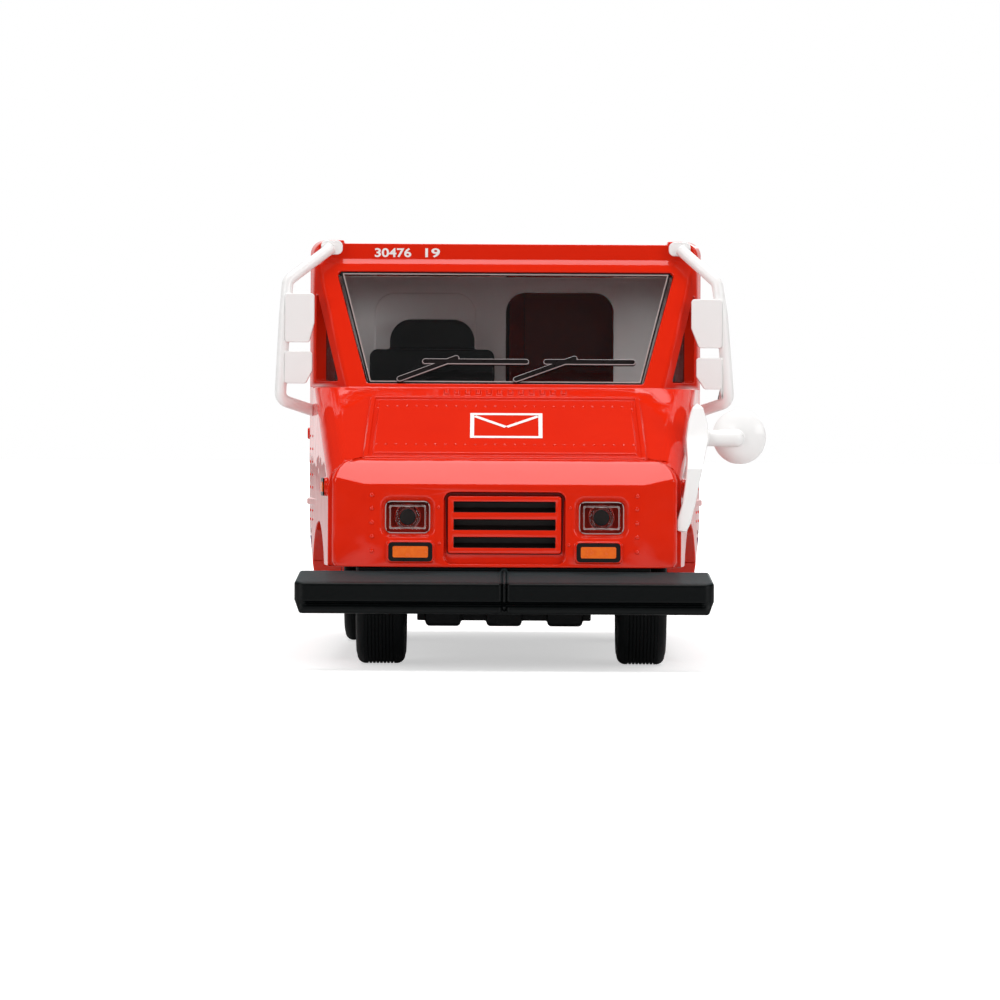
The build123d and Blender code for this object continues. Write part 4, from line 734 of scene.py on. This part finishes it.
# %% Painted shade in the box
shape.normal_update()
skin = BVHTree.FromBMesh(shape)
middle_of_box = Vector((0, back(45), up(20)))
bulkhead_y = back(30)
margin = 0.1 * MM
wall_x = skin.ray_cast(middle_of_box, Vector((1, 0, 0)))[0].x + margin
door_y = skin.ray_cast(middle_of_box, Vector((0, 1, 0)))[0].y + margin
roof_z = skin.ray_cast(middle_of_box, Vector((0, 0, 1)))[0].z + margin
for face in shape.faces:
    if all(abs(v.co.x) < wall_x and bulkhead_y < v.co.y < door_y and v.co.z < roof_z for v in face.verts):
        face.material_index = 3
print("shade_painted_in_box faces", sum(f.material_index == 3 for f in shape.faces))
cap_back = back(3.4)
body = finished(shape, "body_shell_soft", soft_front=cap_back)
# Besides the red enamel the body takes three paints of painted shade: for the slots, the moat and the box.
stand_in(body, "body_shell", "body_paint", red_enamel, black_shade_paint, red_shade_paint, box_shade_paint)

# %% Other castings and mouldings
softened("front_bumper", 0.30, "bumper_plastic", black_bumper, segments=4)
softened("rear_bumper", 0.16, "bumper_plastic", black_bumper)
softened("base_plate", 0.16, "base_plastic", black_base)
softened("driver_seat", 0.25, "seat_black", slate_seat)
softened("interior_tub", 0.08, "interior_grey", grey_tub)
softened("dashboard", 0.15, "dash_black", black_dash)
softened("mirror_arm_right", 0.10, "mirror_white", white_mirror, 40)
softened("mirror_arm_left", 0.10, "mirror_white", white_mirror, 40)
softened("cross_view_mirror", 0.18, "mirror_white", white_mirror, 40)

# %% [markdown]
# ## Windows and lamps
# The panes are rounded too: the bright line along a clear moulding's edge is light bent through that round.
# The wipers stand in relief on the windscreen. Their faces are coloured near black, and their edges a
# light grey that is a painted highlight. The headlamp's rim carries a milky white line, a painted highlight
# for the light that its round edge catches, and a second line of it runs round inside the rim.

# %% Clear pieces
def pane(node, width, slot, material):
    """A clear node with rounded edges."""
    return softened(node, width, slot, material, corner=45, segments=3)


for side in ("right", "left"):
    pane("quarter_glass_" + side, 0.08, "clear_glass", shade_tinted_glass)
    pane("door_glass_" + side, 0.08, "clear_glass", shade_tinted_glass)
    pane("tail_lamp_" + side, 0.15, "tail_red", tail_clear)

# %% Headlamps
outer_line = 0.13                # the rim's line of painted highlight, from the edge in
inner_line = (0.34, 0.47)        # the second one, from and to
for side in ("right", "left"):
    node = "headlamp_lens_" + side
    low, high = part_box(node)
    shape = welded(node)
    cut_large(shape)
    roll_edges(shape, sharp_edges(shape, 45, 0.0), 0.12, 3)
    for face in shape.faces:
        spot = face.calc_center_median()
        edge_gap = min(spot.x - low.x, high.x - spot.x, spot.z - low.z, high.z - spot.z)
        # Faces at the rim, and on a line inside it, take the painted highlight.
        takes_glint_paint = edge_gap < outer_line * MM or inner_line[0] * MM < edge_gap < inner_line[1] * MM
        face.material_index = 1 if takes_glint_paint and spot.y < low.y + 0.3 * MM else 0
    lens = finished(shape, node + "_soft")
    stand_in(lens, node, "lamp_lens", lamp_clear, glint_paint)

# %% Windscreen with its wipers
shape = welded("windscreen")
pane_face = max((f for f in shape.faces if f.normal.y < 0), key=lambda f: f.calc_area())
pane_point, pane_normal = pane_face.calc_center_median().copy(), pane_face.normal.copy()
convex = [e for e in sharp_edges(shape, 45, 0.0) if e.is_convex]
roll_edges(shape, convex, 0.09, 2)
shape.normal_update()
clear_rise, glint_rise = 0.06, 0.16      # below the first it is pane; above the second a face that is not level takes the painted highlight
for face in shape.faces:
    proud = (face.calc_center_median() - pane_point).dot(pane_normal) / MM
    level = abs(face.normal.dot(pane_normal)) > 0.98
    face.material_index = 0 if proud < clear_rise else (1 if level or proud < glint_rise else 2)
windscreen = finished(shape, "windscreen_soft", 30)
stand_in(windscreen, "windscreen", "clear_glass", window_clear, wiper_dark_face, wiper_glint_paint)

# %% [markdown]
# ## Small things on the body
# Rivets, lamp panes, printed marks and stripes all sit on the casting. A ray shot at the painted body finds
# where its surface is and which way it faces, so that each one lies flat on it. The place comes back as a
# matrix: its X runs level along the surface, its Y up the surface, and its Z out of it.

# %% Places on the body
def on_skin(start, direction, lift=0.0):
    """The place where a ray from start, in metres, meets the body, lifted off it by millimetres."""
    hit, normal, index, distance = skin.ray_cast(Vector(start), Vector(direction))
    level = Vector((0, 0, 1)).cross(normal).normalized()
    columns = (level, normal.cross(level), normal)
    place = Matrix([list(axis) + [0] for axis in columns]).to_4x4().transposed()
    place.translation = hit + normal * lift * MM
    return place


def from_front(x, height, lift=0.0):
    """A place seen from the front, x and height in millimetres."""
    return on_skin((x * MM, face_y - 0.02, up(height)), (0, 1, 0), lift)


def from_above(x, station, lift=0.0):
    """A place seen from above."""
    return on_skin((x * MM, back(station), up(45)), (0, 0, -1), lift)


def from_side(side, station, height, lift=0.0):
    """A place seen from the side, which is -1 for the truck's own right and 1 for its left."""
    return on_skin((side * 0.04, back(station), up(height)), (-side, 0, 0), lift)


def add_plate(shape, place, width, height, corner, thick, material=0):
    """Adds a flat plate with round corners to shape, its back at place."""
    sheet = bmesh.new()
    bmesh.ops.create_grid(sheet, x_segments=1, y_segments=1, size=0.5)
    bmesh.ops.scale(sheet, verts=sheet.verts, vec=(width * MM, height * MM, 1))
    if corner:
        bmesh.ops.bevel(
            sheet,
            geom=sheet.verts,
            offset=corner * MM,
            offset_type="OFFSET",
            affect="VERTICES",
            segments=4,
            profile=0.5,
            material=-1,
        )
    front = bmesh.ops.extrude_face_region(sheet, geom=sheet.faces[:])
    lifted = [v for v in front["geom"] if isinstance(v, bmesh.types.BMVert)]
    bmesh.ops.translate(sheet, verts=lifted, vec=(0, 0, thick * MM))
    bmesh.ops.recalc_face_normals(sheet, faces=sheet.faces)
    for face in sheet.faces:
        face.material_index = material
    bmesh.ops.transform(sheet, matrix=place, verts=sheet.verts)
    copy = bpy.data.meshes.new("plate")
    sheet.to_mesh(copy)
    sheet.free()
    shape.from_mesh(copy)
    bpy.data.meshes.remove(copy)


def added(shape, name, slot, *materials, rides="truck"):
    """Makes the bmesh a new piece of the truck."""
    mesh = bpy.data.meshes.new(name)
    shape.to_mesh(mesh)
    shape.free()
    for material in materials:
        mesh.materials.append(material)
    piece = bpy.data.objects.new(name, mesh)
    bpy.context.scene.collection.objects.link(piece)
    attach(piece, rides)
    print(name, len(mesh.polygons), "faces")
    return piece


print("fascia found at", round((from_front(9.9, 12.0).translation.y - face_y) / MM, 2))

# %% [markdown]
# ## Rivets
# The panels of the real van are riveted, and the casting carries the heads: a column up each end of the
# fascia, four beside the grille, two fine rows across the bonnet, and rows along the sides. Under the paint
# they are low, round bumps. There are hundreds, so each is a sphere of few faces, flattened and sunk to
# half its height.

# %% Rivets
rivets = bmesh.new()


def rivet(place, radius=0.19, rise=0.55):
    """One rivet head at place."""
    head = place @ Matrix.Diagonal((1, 1, rise, 1))
    bmesh.ops.create_uvsphere(rivets, u_segments=8, v_segments=5, radius=radius * MM, matrix=head)


for x in (-9.95, 9.95):
    for height in (13.1, 12.1, 11.05, 10.0, 8.9):
        rivet(from_front(x, height))
for x, height in ((-4.95, 12.2), (-4.9, 9.5), (4.9, 12.2), (4.85, 9.4)):
    rivet(from_front(x, height), 0.15)
for station in (5.6, 10.7):
    for step in range(27):
        rivet(from_above((step - 13) * 0.75, station), 0.13, 0.45)
for side in (-1, 1):
    for height in (10.9, 11.6, 13.4, 14.4, 15.4, 16.4, 17.4):
        rivet(from_side(side, 17.6, height), 0.12, 0.4)
        rivet(from_side(side, 19.7, height), 0.12, 0.4)
    for step in range(23):
        station = 34.3 + step * 1.45
        for height in (13.4, 29.6):
            rivet(from_side(side, station, height), 0.13, 0.45)
for face in rivets.faces:
    face.smooth = True
added(rivets, "rivet_heads", "body_paint", red_enamel)

# %% [markdown]
# ## Lamps that are only paint
# The turn signals and side markers have no lens: they are raised pads of the casting, printed black, with
# an orange pane on top. The pane is laid on thick, so it stands a little proud and its edge is round.

# %% Signals and side markers
signals = bmesh.new()
for x in (-7.05, 7.05):
    add_plate(signals, from_front(x, 8.85), 3.3, 1.45, 0.28, 0.02)
    add_plate(signals, from_front(x, 8.85), 2.65, 0.85, 0.12, 0.07, 1)
for side in (-1, 1):
    add_plate(signals, from_side(side, 4.85, 13.65), 1.75, 1.35, 0.1, 0.10)
    add_plate(signals, from_side(side, 4.85, 13.65), 1.75, 0.75, 0.05, 0.16, 1)
added(signals, "painted_lamps", "body_paint", black_ink_and_gap_shadow, orange_ink)

# %% [markdown]
# ## Printed marks
# A fleet number stands on the visor over the driver's side, and an envelope, the common sign for post, on
# the bonnet. The digits are set as text, which is made a mesh and scaled to its height before it is laid in
# place. The envelope is a ring with two strokes for the flap.

# %% Fleet number
def print_text(text, x, height, size, width):
    """Digits size mm high and width mm wide, from x to the right, on the front at that height."""
    curve = bpy.data.curves.new("fleet_number", "FONT")
    curve.body = text
    curve.extrude = 0.01
    curve.offset = 0.025
    setter = bpy.data.objects.new("fleet_number", curve)
    mesh = bpy.data.meshes.new_from_object(setter)
    bpy.data.objects.remove(setter)
    shape = bmesh.new()
    shape.from_mesh(mesh)
    bmesh.ops.remove_doubles(shape, verts=shape.verts, dist=0.0001)
    low_x, high_x = (f(v.co.x for v in shape.verts) for f in (min, max))
    low_y, high_y = (f(v.co.y for v in shape.verts) for f in (min, max))
    stretch = (width * MM / (high_x - low_x), size * MM / (high_y - low_y), MM)
    bmesh.ops.translate(shape, verts=shape.verts, vec=(-low_x, -low_y, 0))
    bmesh.ops.scale(shape, verts=shape.verts, vec=stretch)
    bmesh.ops.recalc_face_normals(shape, faces=shape.faces)
    bmesh.ops.translate(shape, verts=shape.verts, vec=(0, -size / 2 * MM, 0))
    bmesh.ops.transform(shape, matrix=from_front(x, height, 0.03), verts=shape.verts)
    return added(shape, "fleet_number_" + text, "body_paint", white_ink)


print_text("30476", -10.25, 31.78, 0.72, 2.85)
print_text("19", -6.3, 31.78, 0.72, 1.15)

# %% Envelope
emblem = bmesh.new()
mark = from_above(0.1, 8.1, 0.02)
half_w, half_h, stroke = 2.6, 1.75, 0.30
ink_film = 0.01
for side in (1, -1):
    across = mark @ Matrix.Translation((0, side * half_h * MM, 0))
    add_plate(emblem, across, 2 * half_w + stroke, stroke, 0, ink_film)
for side in (-1, 1):
    upright = mark @ Matrix.Translation((side * half_w * MM, 0, 0))
    add_plate(emblem, upright, stroke, 2 * half_h - stroke, 0, ink_film)
flap_drop = 1.7
flap_turn = atan(flap_drop / (half_w - stroke / 2))
flap_length = hypot(half_w - stroke / 2, flap_drop) - 0.12
flap_x, flap_y = (half_w - stroke / 2) / 2, half_h - stroke - flap_drop / 2
for side in (-1, 1):
    spot = Matrix.Translation((side * flap_x * MM, flap_y * MM, 0.002 * MM))
    add_plate(
        emblem, mark @ spot @ Matrix.Rotation(side * flap_turn, 4, "Z"), flap_length, stroke, 0, ink_film
    )
added(emblem, "bonnet_envelope", "body_paint", white_ink)

# %% [markdown]
# ## Side stripes
# A plain blue and white band runs low along both sides. Pad printing wraps round the body's turns and
# tucks, so each stripe starts as a flat grid of small cells beside the truck, and every corner of it is
# then dropped onto the body along a ray. Last it gets the thickness of its ink, a hundredth of a
# millimetre.

# %% Stripes
def stripe(shape, side, first, last, foot, head, lift, material):
    """A printed stripe on one side between two stations and two heights, in millimetres."""
    cells = max(int((last - first) / 0.6), 1)
    sheet = bmesh.new()
    bmesh.ops.create_grid(sheet, x_segments=cells, y_segments=3, size=0.5)
    for vert in sheet.verts:
        station = first + (vert.co.x + 0.5) * (last - first)
        height = foot + (vert.co.y + 0.5) * (head - foot)
        vert.co = from_side(side, station, height, lift).translation
    for face in sheet.faces:
        face.material_index = material
        face.normal_update()
        if face.normal.x * side < 0:
            face.normal_flip()
    bmesh.ops.solidify(sheet, geom=sheet.faces[:], thickness=0.01 * MM)
    bmesh.ops.recalc_face_normals(sheet, faces=sheet.faces)
    copy = bpy.data.meshes.new("stripe")
    sheet.to_mesh(copy)
    sheet.free()
    shape.from_mesh(copy)
    bpy.data.meshes.remove(copy)


stripes = bmesh.new()
for side in (-1, 1):
    for first, last in ((18.9, 20.9), (33.0, 44.6), (59.4, 67.4)):
        stripe(stripes, side, first, last, 8.4, 9.6, 0.02, 1)
        stripe(stripes, side, first, last, 9.85, 10.2, 0.02, 0)
added(stripes, "side_stripes", "body_paint", white_ink, blue_ink)

# %% [markdown]
# ## Edge of the windscreen
# The screen drops into its opening with a hair of room all round. Two narrow frames laid on the pane
# stand for it: a thin black line, painted shadow in that gap, and just inside it a milky line, a painted
# highlight where the edge of the clear moulding catches the light.

# %% Windscreen frame
slope_up = Vector((0, pane_normal.z, -pane_normal.y)).normalized()
slope_up = slope_up if slope_up.z > 0 else -slope_up


def on_pane(x, z):
    """The point of the pane's plane with that x and z."""
    rise = (z - pane_point.z) / slope_up.z
    return Vector((x, pane_point.y + slope_up.y * rise, z))


def in_opening(x, z):
    """True where nothing of the body stands in front of the pane."""
    hit = skin.ray_cast(Vector((x, face_y - 0.02, z)), Vector((0, 1, 0)))[0]
    return hit is None or hit.y > on_pane(x, z).y


def last_open(spots):
    """The last of a row of (x, z) spots before the body closes in."""
    for spot in spots:
        if not in_opening(*spot):
            break
        last = spot
    return last


fine = 0.02 * MM
foot_z = last_open([(0, up(25) - step * fine) for step in range(250)])[1]
head_z = last_open([(0, up(25) + step * fine) for step in range(350)])[1]
foot_x = last_open([(step * fine, foot_z + fine) for step in range(750)])[0]
head_x = last_open([(step * fine, head_z - fine) for step in range(750)])[0]
print("opening", [round(v / MM, 2) for v in (foot_x, head_x, foot_z - ground, head_z - ground)])
frame_shape = bmesh.new()
corners = (-foot_x, foot_z), (foot_x, foot_z), (head_x, head_z), (-head_x, head_z)
outline = frame_shape.faces.new([frame_shape.verts.new(on_pane(x, z)) for x, z in corners])
outline.normal_update()
if outline.normal.dot(pane_normal) < 0:
    outline.normal_flip()
# The outer ring is painted shadow, the inner one a painted highlight.
gap_width, glint_width = 0.13, 0.09
for ring, wide in enumerate((gap_width, glint_width)):
    inset = bmesh.ops.inset_region(
        frame_shape, faces=[outline], use_boundary=True, thickness=wide * MM, use_even_offset=True
    )
    for face in inset["faces"]:
        face.material_index = ring
bmesh.ops.delete(frame_shape, geom=[outline], context="FACES_ONLY")
bmesh.ops.solidify(frame_shape, geom=frame_shape.faces[:], thickness=0.02 * MM)
bmesh.ops.recalc_face_normals(frame_shape, faces=frame_shape.faces)
bmesh.ops.translate(frame_shape, verts=frame_shape.verts, vec=pane_normal * 0.03 * MM)
added(frame_shape, "windscreen_edge", "clear_glass", black_ink_and_gap_shadow, glint_paint)

# %% [markdown]
# ## Painted shade in the headlamp peg holes
# Each headlamp lens is held by a hollow peg, and from the front the hole in it is the darkest thing on the
# nose. A short black plug in each hole is painted shade for its dark inside.

# %% Painted shade in the peg holes
hole_shade_plugs = bmesh.new()
for side in ("right", "left"):
    low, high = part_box("headlamp_lens_" + side)
    centre = (low + high) / 2
    place = Matrix.Translation((centre.x, low.y + 0.75 * MM, centre.z)) @ Matrix.Rotation(pi / 2, 4, "X")
    bmesh.ops.create_cone(
        hole_shade_plugs, cap_ends=True, segments=24, radius1=0.6 * MM, radius2=0.6 * MM, depth=0.4 * MM, matrix=place
    )
added(hole_shade_plugs, "headlamp_peg_hole_shade", "lamp_lens", black_shade_paint)

# %% [markdown]
# ## Tyres
# A toy's tyre is one soft ring, moulded with a fine ribbed tread, round shoulders and a step in the
# sidewall. It is a profile drawn once and spun about the axle. The ribs are a loop, because each is the
# same small groove.

# %% Tyres
tread_grooves, tread_pitch, tread_depth = 5, 0.27, 0.1      # to each side of the middle, in millimetres
shoulder = 0.65
tyre_bore = 3.1


def tyre(node):
    """A ribbed tyre as wide and as large as the node."""
    low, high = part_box(node)
    centre = (low + high) / 2
    half, radius = (high.x - low.x) / 2 / MM, (high.z - low.z) / 2 / MM
    right = []
    for step in range(tread_grooves):
        at = 0.14 + step * tread_pitch
        right += [(at - 0.05, radius), (at - 0.03, radius - tread_depth)]
        right += [(at + 0.03, radius - tread_depth), (at + 0.05, radius)]
    for step in range(6):
        angle = step / 5 * pi / 2
        in_by, down_by = shoulder * (1 - sin(angle)), shoulder * (1 - cos(angle))
        right.append((half - 0.06 - in_by, radius - down_by))
    right += [(half, radius - 0.85), (half, radius - 1.15), (half - 0.1, radius - 1.25)]
    right += [(half - 0.18, tyre_bore + 0.3), (half - 0.3, tyre_bore)]
    outline = [(-a, r) for a, r in reversed(right)] + right
    shape = bmesh.new()
    ring = [shape.verts.new((centre.x + a * MM, centre.y, centre.z + r * MM)) for a, r in outline]
    edges = [shape.edges.new(pair) for pair in zip(ring, ring[1:])]
    edges.append(shape.edges.new((ring[-1], ring[0])))
    bmesh.ops.spin(
        shape,
        geom=shape.verts[:] + edges,
        cent=centre,
        axis=(1, 0, 0),
        dvec=(0, 0, 0),
        angle=2 * pi,
        steps=72,
        use_merge=True,
    )
    bmesh.ops.recalc_face_normals(shape, faces=shape.faces)
    piece = finished(shape, node + "_ribbed", 35)
    return stand_in(piece, node, "tyre_rubber", rubber)


for axle in ("front", "rear"):
    for side in ("right", "left"):
        tyre(f"{axle}_tyre_{side}")

# %% Finishes of the other nodes
def dress(node, material):
    """Gives a node that stays as it is its material."""
    slots = frame["nodes"][node].data.materials
    slots.clear()
    slots.append(material)


dress("steering_wheel", black_dash)
dress("base_screws", plated_steel)
for axle in ("front", "rear"):
    dress(axle + "_axle", plated_steel)
    for side in ("right", "left"):
        dress(f"{axle}_hub_{side}", silver_lacquer)
print("nodes dressed")
